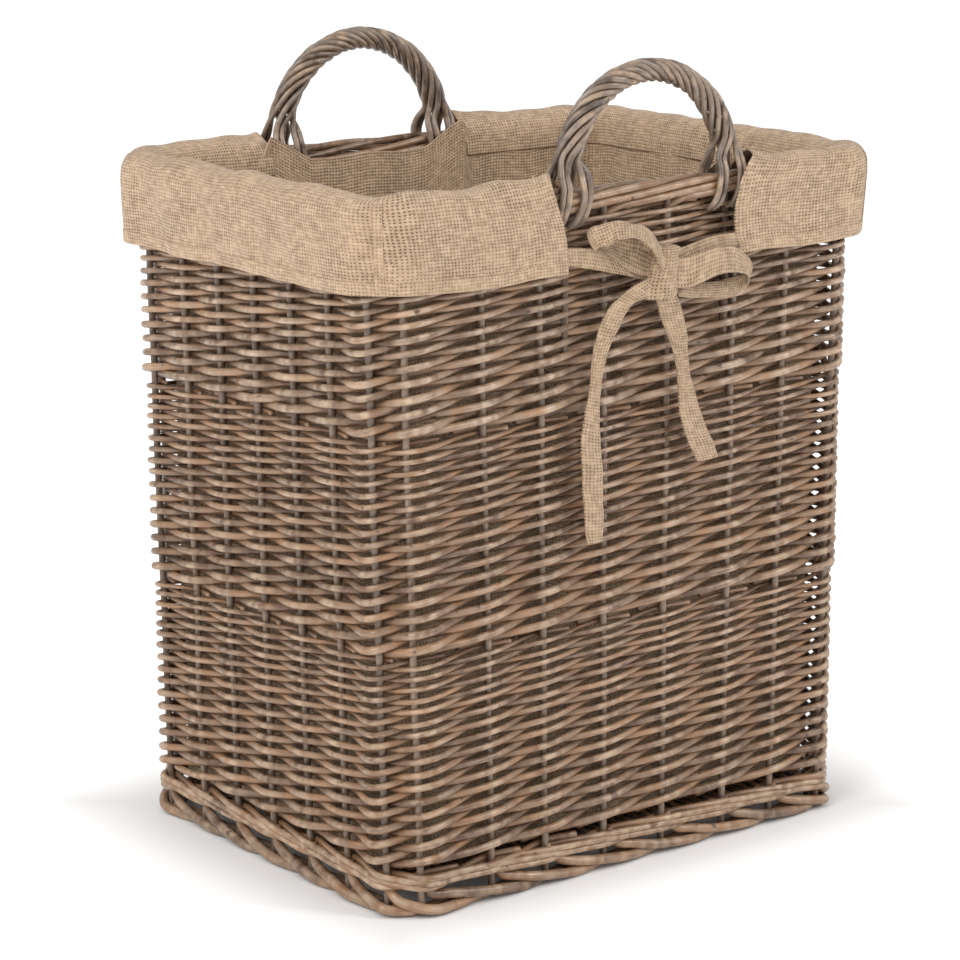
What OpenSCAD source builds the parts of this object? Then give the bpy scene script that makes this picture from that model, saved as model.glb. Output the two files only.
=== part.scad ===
// Rectangular willow log basket with two roped handles and a lift-out hessian lining.
// Units are millimetres. The origin is at the middle of the underside, +X along the
// long side and +Z up. The "front" is the -Y side.

/* [Basket body] */
// Height of the rim above the floor
rim_h = 460; // [420:5:500]
// Length over the stake line at the floor
base_len = 378; // [350:1:400]
// Length over the stake line at the rim
rim_len = 402; // [385:1:420]
// Width over the stake line at the floor
base_wid = 288; // [275:1:300]
// Width over the stake line at the rim
rim_wid = 280; // [270:1:292]
// How far each corner stake stands back from the square corner
corner_cut = 15.5; // [12:0.5:20]

/* [Willow] */
// Diameter of the upright stakes
stake_d = 4.8; // [4:0.1:5.5]
// Thickness of the woven wall
weave_t = 15; // [14:0.5:16]
// Diameter of the rods in the top border
border_rod_d = 5.2; // [4.5:0.1:5.4]
// Diameter of the rods in the foot border
foot_rod_d = 7; // [6:0.25:7.5]
// Diameter of the sticks inside the base
base_stick_d = 7; // [6:0.25:8]
// Thickness of the woven base
base_t = 11; // [10:0.5:12]

/* [Weave bands] */
// Height of the top of the waled band above the foot
upsett_top = 30; // [28:1:34]
// Height of the top of the lowest randed band
lower_top = 171; // [150:1:190]
// Height of the top of the middle randed band
middle_top = 312; // [290:1:330]

/* [Handles] */
// Radius of the handle arch along the middle of the rope
arch_r = 68.5; // [64:0.5:70]
// Height of the arch centre above the rim
arch_lift = 2; // [1:0.5:6]
// Thickness of the roped handle
rope_d = 16; // [14:0.5:16]
// Diameter of the core rod inside the rope
core_d = 5.6; // [5:0.1:6]
// How far the core rods run down into the weave
core_leg = 110; // [60:5:120]
// How far each handle stands off the middle of its side
handle_shift = 13.5; // [13:0.5:14]

/* [Lining] */
// Thickness of the lining cloth
cloth_t = 1.6; // [1.2:0.1:2]
// Height of the folded-down cuff
cuff_drop = 53.5; // [50:1:80]
// Width of each ribbon tie
ribbon_w = 15; // [12:0.5:18]
// Height of the bow knot above the floor
knot_h = 401; // [395:1:410]

/* [Hidden] */

$fn = 32;
willow = "#8a6f58";
pale_willow = "#a08870";
hessian = "#c8aa82";

// Small gap that keeps neighbouring rods apart
gap = 0.1;
// Flats round a border rod, and round a channel for an upright
ring_flats = 12;
channel_flats = 12;
// How far the lowest foot rods are worn flat
foot_wear = 0.3;
// Number of stakes on a long side and on a short side, corner stakes included
long_stakes = 8;
short_stakes = 7;
// Uneven spacing of the stakes along a long side, as woven by eye
long_spacing = [1.16, 0.90, 1.01, 1.03, 1.11, 0.89, 0.90];

border_rows = 3;
border_h = border_rows * (border_rod_d + gap);
border_off = (stake_d + border_rod_d) / 2 + 0.8;
weave_top = rim_h - border_h - 2 * gap;
foot_off = (stake_d + foot_rod_d) / 2 + 0.6;
foot_h = 2 * foot_rod_d + gap - foot_wear;
base_z = foot_h + gap;
base_top = base_z + base_t;
base_inset = weave_t / 2 + 4 * gap;
base_hl = base_len / 2 - base_inset;
base_hw = base_wid / 2 - base_inset;
stick_pitch = 34;
stick_count = 7;

lash_d = 4.4;
lash_off = border_off + border_rod_d / 2 + lash_d / 2 + gap;
lash_side = (rope_d + lash_d) / 2 + gap;
lash_drop = 20;

// The lining hangs clear of the weave and of the lashings, so that it lifts straight out
bag_hl = base_hl - 1;
bag_hw = rim_wid / 2 - lash_off - lash_d / 2 - 0.8;
bag_z = base_top + 0.4;
strip_z = rim_h + 1;
cuff_in = lash_off + lash_d / 2 + 5 * gap;
cuff_out = cuff_in + cloth_t;
cuff_z = rim_h - cuff_drop;
hem_h = 8;
hem_t = 2.2;
cutout_left = -77;
cutout_right = 96;
// Where the free edges of the folded-down cuff stand, at a cut-out
flap_left = -71;
flap_right = 78;
bag_cutout_drop = 10;
seam_w = 4;
seam_t = 1.2;
liner_top = strip_z + cloth_t;

ribbon_t = 2.4;
ribbon_off = cuff_in + max(cloth_t, hem_t) + 5 * gap;
ribbon_lap = 7;
knot_x = 9;
knot_w = 20;
knot_tall = 30;
knot_t = 11;
loop_len_left = 56;
loop_len_right = 69;
loop_rise_left = 24;
loop_rise_right = -5;
tail_gap = 3;

// Half the length and half the width of the stake line at height z
function half_len(z) = (base_len + (rim_len - base_len) * z / rim_h) / 2;
function half_wid(z) = (base_wid + (rim_wid - base_wid) * z / rim_h) / 2;

// Sum of the first n entries of a list
function sum_to(list, n) = n <= 0 ? 0 : list[n - 1] + sum_to(list, n - 1);

// Outline of the stake line at height z, moved outwards by off
function outline(z, off) =
    let (
        hl = half_len(z) + off,
        hw = half_wid(z) + off,
        cut = corner_cut + off * (2 - sqrt(2))
    )
    [
        [-hl + cut, -hw], [hl - cut, -hw], [hl, -hw + cut], [hl, hw - cut],
        [hl - cut, hw], [-hl + cut, hw], [-hl, hw - cut], [-hl, -hw + cut]
    ];

// Place of stake n on the front side, from the left corner, at height z
function front_stake(n, z) =
    let (reach = half_len(z) - corner_cut)
    [
        -reach + 2 * reach * sum_to(long_spacing, n) / sum_to(long_spacing, long_stakes - 1),
        -half_wid(z),
        z
    ];

// Place of stake n on the right side, from the front corner, at height z
function right_stake(n, z) =
    let (reach = half_wid(z) - corner_cut)
    [half_len(z), -reach + 2 * reach * n / (short_stakes - 1), z];

// A point turned half round the middle of the basket
function turned(p) = [-p[0], -p[1], p[2]];

// Rod from p to q, round or with the given number of flats
module rod(p, q, d, flats = $fn) {
    v = q - p;
    flat_len = norm([v[0], v[1]]);
    translate(p)
        rotate([0, atan2(flat_len, v[2]), atan2(v[1], v[0])])
            cylinder(h = norm(v), d = d, $fn = flats);
}

// The stakes of one long side, corner stakes left out, at diameter d
module long_side_stakes(d, side, flats = $fn) {
    for (n = [1 : long_stakes - 2]) {
        foot = front_stake(n, foot_wear + gap);
        head = front_stake(n, rim_h - border_rod_d);
        rod(side < 0 ? foot : turned(foot), side < 0 ? head : turned(head), d, flats);
    }
}

// The stakes of one short side, corner stakes left out, at diameter d
module short_side_stakes(d, side, flats = $fn) {
    for (n = [1 : short_stakes - 2]) {
        foot = right_stake(n, foot_wear + gap);
        head = right_stake(n, rim_h - border_rod_d);
        rod(side > 0 ? foot : turned(foot), side > 0 ? head : turned(head), d, flats);
    }
}

// The two stakes at each of the four corners, at diameter d
module all_corner_stakes(d, flats = $fn) {
    for (n = [0 : 7]) {
        foot = outline(foot_wear + gap, 0)[n];
        head = outline(rim_h - border_rod_d, 0)[n];
        rod(
            [foot[0], foot[1], foot_wear + gap],
            [head[0], head[1], rim_h - border_rod_d],
            d,
            flats
        );
    }
}

// Every upright that passes through the weave, a little oversize, to cut its channels
module upright_channels() {
    clearance = 4 * gap;
    for (side = [-1, 1]) {
        long_side_stakes(stake_d + clearance, side, channel_flats);
        short_side_stakes(stake_d + clearance, side, channel_flats);
    }
    all_corner_stakes(stake_d + clearance, channel_flats);
    for (turn = [0, 180])
        rotate([0, 0, turn]) core_legs(core_d + clearance, core_leg + gap, channel_flats);
}

// Block with the outline of the basket, grown by off, between two heights
module tapered_block(z_low, z_high, off) {
    translate([0, 0, z_low])
        linear_extrude(
            height = z_high - z_low,
            scale = [
                (half_len(z_high) + off) / (half_len(z_low) + off),
                (half_wid(z_high) + off) / (half_wid(z_low) + off)
            ]
        )
            polygon(outline(z_low, off));
}

// One woven band round the basket, with a channel for each upright
module woven_band(z_low, z_high) {
    difference() {
        tapered_block(z_low, z_high, weave_t / 2);
        tapered_block(z_low - 1, z_high + 1, -weave_t / 2);
        upright_channels();
    }
}

// Rod bent round the basket at height z, moved outwards from the stake line by off,
// in eight straight lengths that meet in mitred corners
module ring_rod(z, off, d) {
    middle = outline(z, off);
    inner = outline(z, off - d);
    outer = outline(z, off + d);
    for (n = [0 : 7]) {
        m = (n + 1) % 8;
        run = middle[m] - middle[n];
        past = run * d / norm(run);
        a = middle[n] - past;
        b = middle[m] + past;
        intersection() {
            rod([a[0], a[1], z], [b[0], b[1], z], d, ring_flats);
            translate([0, 0, z - d])
                linear_extrude(height = 2 * d)
                    polygon([inner[n], outer[n], outer[m], inner[m]]);
        }
    }
}

// ---- Foot and base ----

module foot_border() {
    color(willow)
        difference() {
            for (row = [0, 1], side = [-1, 1])
                ring_rod(
                    foot_rod_d / 2 - foot_wear + row * (foot_rod_d + gap),
                    side * foot_off,
                    foot_rod_d
                );
            translate([-rim_len, -rim_wid, -foot_rod_d])
                cube([2 * rim_len, 2 * rim_wid, foot_rod_d]);
        }
}

// Sticks lengthwise in the base, at diameter d, numbered from the front edge
module base_stick(n, d) {
    stick_hl = base_hl - 5;
    y = (n - (stick_count - 1) / 2) * stick_pitch;
    translate([-stick_hl, y, base_z + base_t / 2])
        rotate([0, 90, 0])
            cylinder(h = 2 * stick_hl, d = d);
}

module base_edge_sticks() {
    color(willow)
        for (n = [0, stick_count - 1])
            base_stick(n, base_stick_d + 1);
}

module base_sticks() {
    color(willow)
        for (n = [1 : stick_count - 2])
            base_stick(n, base_stick_d);
}

module base_weave() {
    edge_cut = corner_cut - base_inset * (2 - sqrt(2));
    color(pale_willow)
        difference() {
            translate([0, 0, base_z])
                linear_extrude(height = base_t)
                    polygon([
                        [-base_hl + edge_cut, -base_hw], [base_hl - edge_cut, -base_hw],
                        [base_hl, -base_hw + edge_cut], [base_hl, base_hw - edge_cut],
                        [base_hl - edge_cut, base_hw], [-base_hl + edge_cut, base_hw],
                        [-base_hl, base_hw - edge_cut], [-base_hl, -base_hw + edge_cut]
                    ]);
            for (n = [0 : stick_count - 1])
                base_stick(n, base_stick_d + 2 * gap + (n % (stick_count - 1) == 0 ? 1 : 0));
        }
}

// ---- Stakes ----

module front_stakes() {
    color(willow) long_side_stakes(stake_d, -1);
}

module back_stakes() {
    color(willow) long_side_stakes(stake_d, 1);
}

module left_stakes() {
    color(willow) short_side_stakes(stake_d, -1);
}

module right_stakes() {
    color(willow) short_side_stakes(stake_d, 1);
}

module corner_stakes() {
    color(willow) all_corner_stakes(stake_d);
}

// ---- Weave and border ----

module upsett_wale() {
    color(willow) woven_band(foot_h + gap, upsett_top);
}

module lower_weave() {
    color(pale_willow) woven_band(upsett_top, lower_top);
}

module middle_weave() {
    color(pale_willow) woven_band(lower_top, middle_top);
}

module upper_weave() {
    color(pale_willow) woven_band(middle_top, weave_top);
}

module top_border() {
    color(willow)
        for (row = [0 : border_rows - 1], side = [-1, 1])
            ring_rod(
                rim_h - border_rod_d / 2 - row * (border_rod_d + gap),
                side * border_off,
                border_rod_d
            );
}

// ---- Handles, drawn on the front side and turned half round for the back ----

// The two straight legs of a handle core, leg_len long below the arch
module core_legs(d, leg_len, flats = $fn) {
    for (side = [-1, 1])
        translate([handle_shift + side * arch_r, -rim_wid / 2, rim_h + arch_lift - leg_len])
            cylinder(h = leg_len, d = d, $fn = flats);
}

// Half ring that stands on the rim, with the given section diameter
module arch(d) {
    translate([handle_shift, -rim_wid / 2, rim_h + arch_lift])
        rotate([90, 0, 0])
            rotate_extrude(angle = 180)
                translate([arch_r, 0]) circle(d = d);
}

module handle_core() {
    arch(core_d);
    core_legs(core_d, core_leg);
}

module handle_rope() {
    difference() {
        arch(rope_d);
        arch(core_d + 2 * gap);
    }
}

// One rod end looped over the border and down both faces of the wall
module lashing(x) {
    y = -rim_wid / 2;
    top = rim_h + lash_d / 2 + gap;
    for (side = [-1, 1]) {
        rod([x, y + side * lash_off, top - lash_drop], [x, y + side * lash_off, top], lash_d);
        translate([x, y + side * lash_off, top]) sphere(d = lash_d);
        translate([x, y + side * lash_off, top - lash_drop]) sphere(d = lash_d);
    }
    rod([x, y - lash_off, top], [x, y + lash_off, top], lash_d);
}

module handle_lashings() {
    for (leg = [-1, 1], side = [-1, 1])
        lashing(handle_shift + leg * arch_r + side * lash_side);
}

module front_handle_core() {
    color(willow) handle_core();
}

module front_handle_rope() {
    color(willow) handle_rope();
}

module front_handle_lashings() {
    color(pale_willow) handle_lashings();
}

module back_handle_core() {
    color(willow) rotate([0, 0, 180]) handle_core();
}

module back_handle_rope() {
    color(willow) rotate([0, 0, 180]) handle_rope();
}

module back_handle_lashings() {
    color(pale_willow) rotate([0, 0, 180]) handle_lashings();
}

// ---- Lining ----

module liner_floor() {
    color(hessian)
        translate([-bag_hl, -bag_hw, bag_z])
            cube([2 * bag_hl, 2 * bag_hw, cloth_t]);
}

// Long wall of the bag on the front side, cut down under the handle
module long_bag_wall() {
    wall_z = bag_z + cloth_t;
    difference() {
        translate([-bag_hl, -bag_hw, wall_z])
            cube([2 * bag_hl, cloth_t, strip_z - wall_z]);
        translate([cutout_left, -bag_hw - 1, rim_h - bag_cutout_drop])
            cube([cutout_right - cutout_left, cloth_t + 2, rim_h]);
    }
}

// Short wall of the bag on the right side
module short_bag_wall() {
    wall_z = bag_z + cloth_t;
    translate([bag_hl - cloth_t, -bag_hw + cloth_t, wall_z])
        cube([cloth_t, 2 * (bag_hw - cloth_t), strip_z - wall_z]);
}

module liner_front() {
    color(hessian) long_bag_wall();
}

module liner_back() {
    color(hessian) rotate([0, 0, 180]) long_bag_wall();
}

module liner_left() {
    color(hessian) rotate([0, 0, 180]) short_bag_wall();
}

module liner_right() {
    color(hessian) short_bag_wall();
}

// Outline of the cuff, moved outwards from the stake line of the rim by off
module cuff_outline(off) {
    polygon(outline(rim_h, off));
}

// Ring of cloth round the rim between two offsets and two heights
module cuff_ring(off_in, off_out, z_low, z_high) {
    translate([0, 0, z_low])
        linear_extrude(height = z_high - z_low)
            difference() {
                cuff_outline(off_out);
                cuff_outline(off_in);
            }
}

// Space over the right end of the basket, from front_x outwards at the front and back_x at the back
module right_end_space(front_x, back_x) {
    far = rim_len;
    translate([front_x, -far, 0]) cube([far, far, 2 * rim_h]);
    translate([back_x, 0, 0]) cube([far, far, 2 * rim_h]);
}

// The cuff over the right end, with the strip that joins it to the bag
module cuff_end() {
    intersection() {
        cuff_ring(cuff_in, cuff_out, cuff_z + hem_h, liner_top);
        right_end_space(flap_right, -flap_left);
    }
    intersection() {
        translate([0, 0, strip_z])
            linear_extrude(height = cloth_t)
                difference() {
                    cuff_outline(cuff_out);
                    square([2 * (bag_hl - cloth_t), 2 * (bag_hw - cloth_t)], center = true);
                }
        right_end_space(cutout_right, -cutout_left);
    }
}

module cuff_hem_end() {
    intersection() {
        cuff_ring(cuff_in, cuff_in + hem_t, cuff_z, cuff_z + hem_h);
        right_end_space(flap_right, -flap_left);
    }
}

module cuff_right() {
    color(hessian) cuff_end();
}

module cuff_left() {
    color(hessian) rotate([0, 0, 180]) cuff_end();
}

module cuff_hem_right() {
    color(hessian) cuff_hem_end();
}

module cuff_hem_left() {
    color(hessian) rotate([0, 0, 180]) cuff_hem_end();
}

// Sewn ridge up the cuff at each corner
module cuff_corner_seams() {
    points = outline(rim_h, cuff_out);
    color(hessian)
        for (n = [0, 2, 4, 6]) {
            a = points[(n + 7) % 8];
            b = points[n];
            translate([(a[0] + b[0]) / 2, (a[1] + b[1]) / 2, cuff_z + hem_h])
                rotate([0, 0, atan2(b[1] - a[1], b[0] - a[0])])
                    translate([-seam_w / 2, -seam_t, 0])
                        cube([seam_w, seam_t, cuff_drop - hem_h]);
        }
}

// ---- Ribbon bows, drawn on the front side and turned half round for the back ----

ribbon_y = -rim_wid / 2 - ribbon_off;

// Ribbon from the edge of the cuff to the knot
module tie(x_edge, x_knot) {
    translate([min(x_edge, x_knot), ribbon_y - ribbon_t, knot_h - ribbon_w / 2])
        cube([abs(x_edge - x_knot), ribbon_t, ribbon_w]);
}

module tie_left() {
    tie(flap_left - ribbon_lap, knot_x - knot_w / 2);
}

module tie_right() {
    tie(flap_right + ribbon_lap, knot_x + knot_w / 2);
}

module bow_knot() {
    translate([knot_x - knot_w / 2, ribbon_y - knot_t, knot_h - knot_tall / 2])
        cube([knot_w, knot_t, knot_tall]);
}

// Loop of ribbon that stands in front of the tie, rounded at its far end, which rises by an angle
module bow_loop(length, rise) {
    depth = knot_t - ribbon_t - gap;
    wall = 1.6;
    translate([ribbon_w * max(sin(rise), 0) + gap, 0, 0])
        rotate([0, -rise, 0])
            difference() {
                union() {
                    cube([length - depth / 2, depth, ribbon_w]);
                    translate([length - depth / 2, depth / 2, 0]) cylinder(h = ribbon_w, d = depth);
                }
                translate([wall, wall, -1])
                    cube([length - depth / 2 - wall, depth - 2 * wall, ribbon_w + 2]);
                translate([length - depth / 2, depth / 2, -1])
                    cylinder(h = ribbon_w + 2, d = depth - 2 * wall);
            }
}

module bow_loops() {
    y = ribbon_y - knot_t;
    z = knot_h - ribbon_w / 2;
    translate([knot_x + knot_w / 2, y, z]) bow_loop(loop_len_right, loop_rise_right);
    translate([knot_x - knot_w / 2, y, z])
        mirror([1, 0, 0]) bow_loop(loop_len_left, loop_rise_left);
}

// Tail that hangs from the knot, ending lean to one side
module bow_tail(side, length, lean) {
    top_x = knot_x + side * (ribbon_w / 2 + tail_gap) - ribbon_w / 2;
    top_z = knot_h - knot_tall / 2;
    translate([top_x, ribbon_y, top_z])
        rotate([90, 0, 0])
            linear_extrude(height = ribbon_t)
                polygon([[0, 0], [ribbon_w, 0], [ribbon_w + lean, -length], [lean, -length]]);
}

module bow_tails() {
    bow_tail(-1, 157, -40);
    bow_tail(1, 116, 35);
}

module front_tie_left() {
    color(hessian) tie_left();
}

module front_tie_right() {
    color(hessian) tie_right();
}

module front_bow_knot() {
    color(hessian) bow_knot();
}

module front_bow_loops() {
    color(hessian) bow_loops();
}

module front_bow_tails() {
    color(hessian) bow_tails();
}

module back_tie_left() {
    color(hessian) rotate([0, 0, 180]) tie_left();
}

module back_tie_right() {
    color(hessian) rotate([0, 0, 180]) tie_right();
}

module back_bow_knot() {
    color(hessian) rotate([0, 0, 180]) bow_knot();
}

module back_bow_loops() {
    color(hessian) rotate([0, 0, 180]) bow_loops();
}

module back_bow_tails() {
    color(hessian) rotate([0, 0, 180]) bow_tails();
}

foot_border();
base_edge_sticks();
base_sticks();
base_weave();
front_stakes();
back_stakes();
left_stakes();
right_stakes();
corner_stakes();
upsett_wale();
lower_weave();
middle_weave();
upper_weave();
top_border();
front_handle_core();
front_handle_rope();
front_handle_lashings();
back_handle_core();
back_handle_rope();
back_handle_lashings();
liner_floor();
liner_front();
liner_back();
liner_left();
liner_right();
cuff_left();
cuff_right();
cuff_hem_left();
cuff_hem_right();
cuff_corner_seams();
front_tie_left();
front_tie_right();
front_bow_knot();
front_bow_loops();
front_bow_tails();
back_tie_left();
back_tie_right();
back_bow_knot();
back_bow_loops();
back_bow_tails();
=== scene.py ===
"""A willow log basket with two roped handles and a lift-out hessian lining.

The CAD frame gives where the stakes, the bands, the borders, the handles and the lining's floor
are. The rods' thicknesses and paths, the cuff's section and the ribbons' courses are fields of the
classes here. Lengths are in millimetres until a mesh is made.
"""

import logging
import math
from dataclasses import dataclass, field
from enum import Enum
from typing import Optional, Sequence, Union

import bpy
import numpy as np
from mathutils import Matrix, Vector


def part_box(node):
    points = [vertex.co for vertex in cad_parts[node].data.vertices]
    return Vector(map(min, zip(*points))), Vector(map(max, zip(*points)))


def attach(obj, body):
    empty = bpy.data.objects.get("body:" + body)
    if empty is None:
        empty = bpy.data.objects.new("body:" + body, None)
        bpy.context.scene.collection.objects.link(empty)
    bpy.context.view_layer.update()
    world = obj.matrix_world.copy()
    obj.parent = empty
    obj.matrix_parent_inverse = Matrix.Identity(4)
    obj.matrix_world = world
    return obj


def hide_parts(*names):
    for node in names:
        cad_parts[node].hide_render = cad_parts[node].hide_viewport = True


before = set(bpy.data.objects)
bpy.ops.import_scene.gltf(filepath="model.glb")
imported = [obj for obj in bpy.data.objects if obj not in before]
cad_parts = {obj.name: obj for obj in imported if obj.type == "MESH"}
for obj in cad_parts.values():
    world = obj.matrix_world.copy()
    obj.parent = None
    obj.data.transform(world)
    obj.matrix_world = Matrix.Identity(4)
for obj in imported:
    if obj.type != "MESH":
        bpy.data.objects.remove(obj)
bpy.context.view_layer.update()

LOG = logging.getLogger("log_basket")
MM = 0.001
Value = Union[float, Sequence[float], bpy.types.NodeSocket]
Colour = tuple[float, float, float]
FootSlot = tuple[float, int]


# ---------------------------------------------------------------- frame readings


def node_box(node: str) -> tuple[np.ndarray, np.ndarray]:
    """Lowest and highest corner of a CAD node, in millimetres.

    Args:
        node: The CAD node's name.

    Returns:
        The two corners.
    """
    low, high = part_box(node)
    return np.array(low) / MM, np.array(high) / MM


def node_points(node: str) -> np.ndarray:
    """Every point of a CAD node, in millimetres."""
    return np.array([v.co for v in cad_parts[node].data.vertices]) / MM


def distances(points: np.ndarray, axis: int = 0) -> np.ndarray:
    """How far along its line each point is.

    Args:
        points: Rows of x, y, z, or a grid of them.
        axis: The axis along which the lines run.

    Returns:
        The distances, each line starting at 0.
    """
    steps = np.linalg.norm(np.diff(points, axis=axis), axis=-1)
    return np.insert(np.cumsum(steps, axis=axis), 0, 0.0, axis=axis)


def smooth_run(anchors: Sequence[Sequence[float]], per_span: int) -> np.ndarray:
    """A smooth curve through anchors of any width, the first three columns being its place.

    Args:
        anchors: The rows that the curve goes through.
        per_span: How many steps each span between two anchors is cut into.

    Returns:
        The curve's rows, the last anchor included.
    """
    rows = np.asarray(anchors, float)
    spans = np.linalg.norm(np.diff(rows[:, :3], axis=0), axis=1).clip(1e-6)
    slopes = np.diff(rows, axis=0) / spans[:, None]
    share = (spans[:-1] / (spans[:-1] + spans[1:]))[:, None]
    tangents = np.vstack([slopes[:1], slopes[:-1] * (1 - share) + slopes[1:] * share, slopes[-1:]])
    f = np.linspace(0, 1, per_span, endpoint=False)[None, :, None]
    start, end = rows[:-1, None], rows[1:, None]
    leave, arrive = (side[:, None] * spans[:, None, None] for side in (tangents[:-1], tangents[1:]))
    curve = (
        (2 * f**3 - 3 * f**2 + 1) * start
        + (f**3 - 2 * f**2 + f) * leave
        + (3 * f**2 - 2 * f**3) * end
        + (f**3 - f**2) * arrive
    )
    return np.vstack([curve.reshape(-1, rows.shape[1]), rows[-1:]])


def half_turn(points: np.ndarray) -> np.ndarray:
    """Points turned half round the middle of the basket.

    Args:
        points: Rows of x, y, z.

    Returns:
        The turned rows.
    """
    return np.asarray(points, float) * np.array([-1.0, -1.0, 1.0])


class Ripple:
    """A smooth wandering value, the same on every run, made from a few sines."""

    def __init__(self, seed: int, wavelength: float, waves: int = 5) -> None:
        """Picks the sines.

        Args:
            seed: Picks one wandering line from all others.
            wavelength: Typical length of one rise and fall, in the unit it will be read in.
            waves: How many sines are summed.
        """
        rng = np.random.default_rng(seed)
        self.rates = 2 * np.pi / wavelength * rng.uniform(0.55, 1.7, waves)
        self.turns = rng.uniform(0, 2 * np.pi, waves)
        self.gains = rng.uniform(0.5, 1.0, waves)
        self.gains /= np.sqrt((self.gains**2).sum() / 2)

    def __call__(self, along: np.ndarray) -> np.ndarray:
        """The value, mostly between -1.5 and 1.5, at each place along."""
        along = np.asarray(along, float)[..., None]
        return (np.sin(along * self.rates + self.turns) * self.gains).sum(-1) / 1.5


class StakeRing:
    """The upright stakes in order round the basket, counted from the front left corner to the right."""

    STAKE_NODES = ("front_stakes", "back_stakes", "left_stakes", "right_stakes", "corner_stakes")
    CORNERS = (7.5, 14.5, 22.5, 29.5)
    SAME_LEVEL = 1.0
    SAME_STAKE = 8.0

    def __init__(self) -> None:
        """Reads each stake's foot and head from the CAD nodes and puts them in order."""
        stakes = [s for node in self.STAKE_NODES for s in self.read(node)]
        stakes.sort(key=lambda s: self.bearing(s[0]))
        front = min(s[0][1] for s in stakes)
        first = min(
            (n for n, s in enumerate(stakes) if s[0][1] < front + self.SAME_LEVEL),
            key=lambda n: stakes[n][0][0],
        )
        stakes = stakes[first:] + stakes[:first]
        self.feet = np.array([s[0] for s in stakes])
        self.heads = np.array([s[1] for s in stakes])
        self.count = len(stakes)
        self.rim = node_box("top_border")[1][2]
        edges = np.roll(self.heads, -1, axis=0) - self.heads
        out = np.stack([edges[:, 1], -edges[:, 0], 0 * edges[:, 0]], 1)
        out /= np.linalg.norm(out, axis=1)[:, None]
        both = out + np.roll(out, 1, axis=0)
        self.normals = both / np.linalg.norm(both, axis=1)[:, None]
        self.normals /= (self.normals * out).sum(1)[:, None]

    @staticmethod
    def read(node: str) -> list[tuple[np.ndarray, np.ndarray]]:
        """The foot and head of each stake in a CAD node.

        Args:
            node: The CAD node's name.

        Returns:
            One pair of points for each stake.
        """
        points = node_points(node)
        ends = []
        for level in (points[:, 2].min(), points[:, 2].max()):
            groups: list[list[np.ndarray]] = []
            for p in points[np.abs(points[:, 2] - level) < StakeRing.SAME_LEVEL]:
                near = (g for g in groups if np.linalg.norm(g[0][:2] - p[:2]) < StakeRing.SAME_STAKE)
                home = next(near, None)
                if home is None:
                    groups.append([p])
                else:
                    home.append(p)
            middles = [(np.min(g, axis=0) + np.max(g, axis=0)) / 2 for g in groups]
            ends.append(sorted(middles, key=StakeRing.bearing))
        return list(zip(*ends))

    @staticmethod
    def bearing(point: np.ndarray) -> float:
        """How far round the basket a point is, from the middle of the front towards the right."""
        return math.atan2(point[0], -point[1])

    def place(self, t: np.ndarray, z: np.ndarray, off: np.ndarray) -> np.ndarray:
        """Points beside the stake line.

        Args:
            t: How far round, counted in stakes.
            z: Heights.
            off: Distances outwards from the stake line.

        Returns:
            Rows of x, y, z.
        """
        t, z, off = np.broadcast_arrays(np.asarray(t, float), z, off)
        here = np.floor(t).astype(int)
        f = (t - here)[..., None]
        here, after = here % self.count, (here + 1) % self.count
        rise = ((z - self.feet[0][2]) / (self.heads[0][2] - self.feet[0][2]))[..., None]
        low, high, normal = (
            rows[here] * (1 - f) + rows[after] * f for rows in (self.feet, self.heads, self.normals)
        )
        point = low * (1 - rise) + high * rise + normal * off[..., None]
        point[..., 2] = z
        return point

    def at_x(self, x: float, front: bool) -> float:
        """How far round a place on the front or back side is.

        Args:
            x: Its place along the side, at rim height.
            front: True on the front side, False on the back.

        Returns:
            The place in stakes.
        """
        side = [n for n in range(self.count) if (self.heads[n][1] < 0) == front]
        for n in side:
            a, b = self.heads[n][0], self.heads[(n + 1) % self.count][0]
            if (n + 1) % self.count in side and min(a, b) <= x <= max(a, b) and abs(a - b) > 20:
                return n + (x - a) / (b - a)
        raise ValueError(f"no stake near x = {x}")


# ---------------------------------------------------------------- making meshes


def activate(piece: bpy.types.Object) -> None:
    """Makes one object the only selected and active one."""
    for other in bpy.context.selected_objects:
        other.select_set(False)
    piece.select_set(True)
    bpy.context.view_layer.objects.active = piece


def apply_modifier(piece: bpy.types.Object, kind: str, **settings: object) -> None:
    """Adds a modifier to a piece and applies it.

    Args:
        piece: The piece to finish.
        kind: Blender's name for the kind of modifier.
        **settings: The modifier's settings.
    """
    modifier = piece.modifiers.new(kind.lower(), kind)
    for name, value in settings.items():
        setattr(modifier, name, value)
    activate(piece)
    bpy.ops.object.modifier_apply(modifier=modifier.name)


def soften(piece: bpy.types.Object, angle: float = 60.0) -> None:
    """Shades a piece smooth, with sharp edges kept above an angle in degrees."""
    activate(piece)
    bpy.ops.object.shade_smooth_by_angle(angle=math.radians(angle))


def place_object(name: str, data: bpy.types.ID) -> bpy.types.Object:
    """Puts a mesh, a lamp or a camera into the scene as an object at the origin.

    Args:
        name: The object's name.
        data: What it shows.

    Returns:
        The object.
    """
    made = bpy.data.objects.new(name, data)
    bpy.context.scene.collection.objects.link(made)
    return made


def join_pieces(parts: list[bpy.types.Object], name: str) -> bpy.types.Object:
    """Joins several objects into one.

    Args:
        parts: The objects, the first of which takes up the others.
        name: The joined object's name.

    Returns:
        The joined object.
    """
    activate(parts[0])
    for part in parts:
        part.select_set(True)
    bpy.ops.object.join()
    piece = bpy.context.active_object
    piece.name = piece.data.name = name
    return piece


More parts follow.
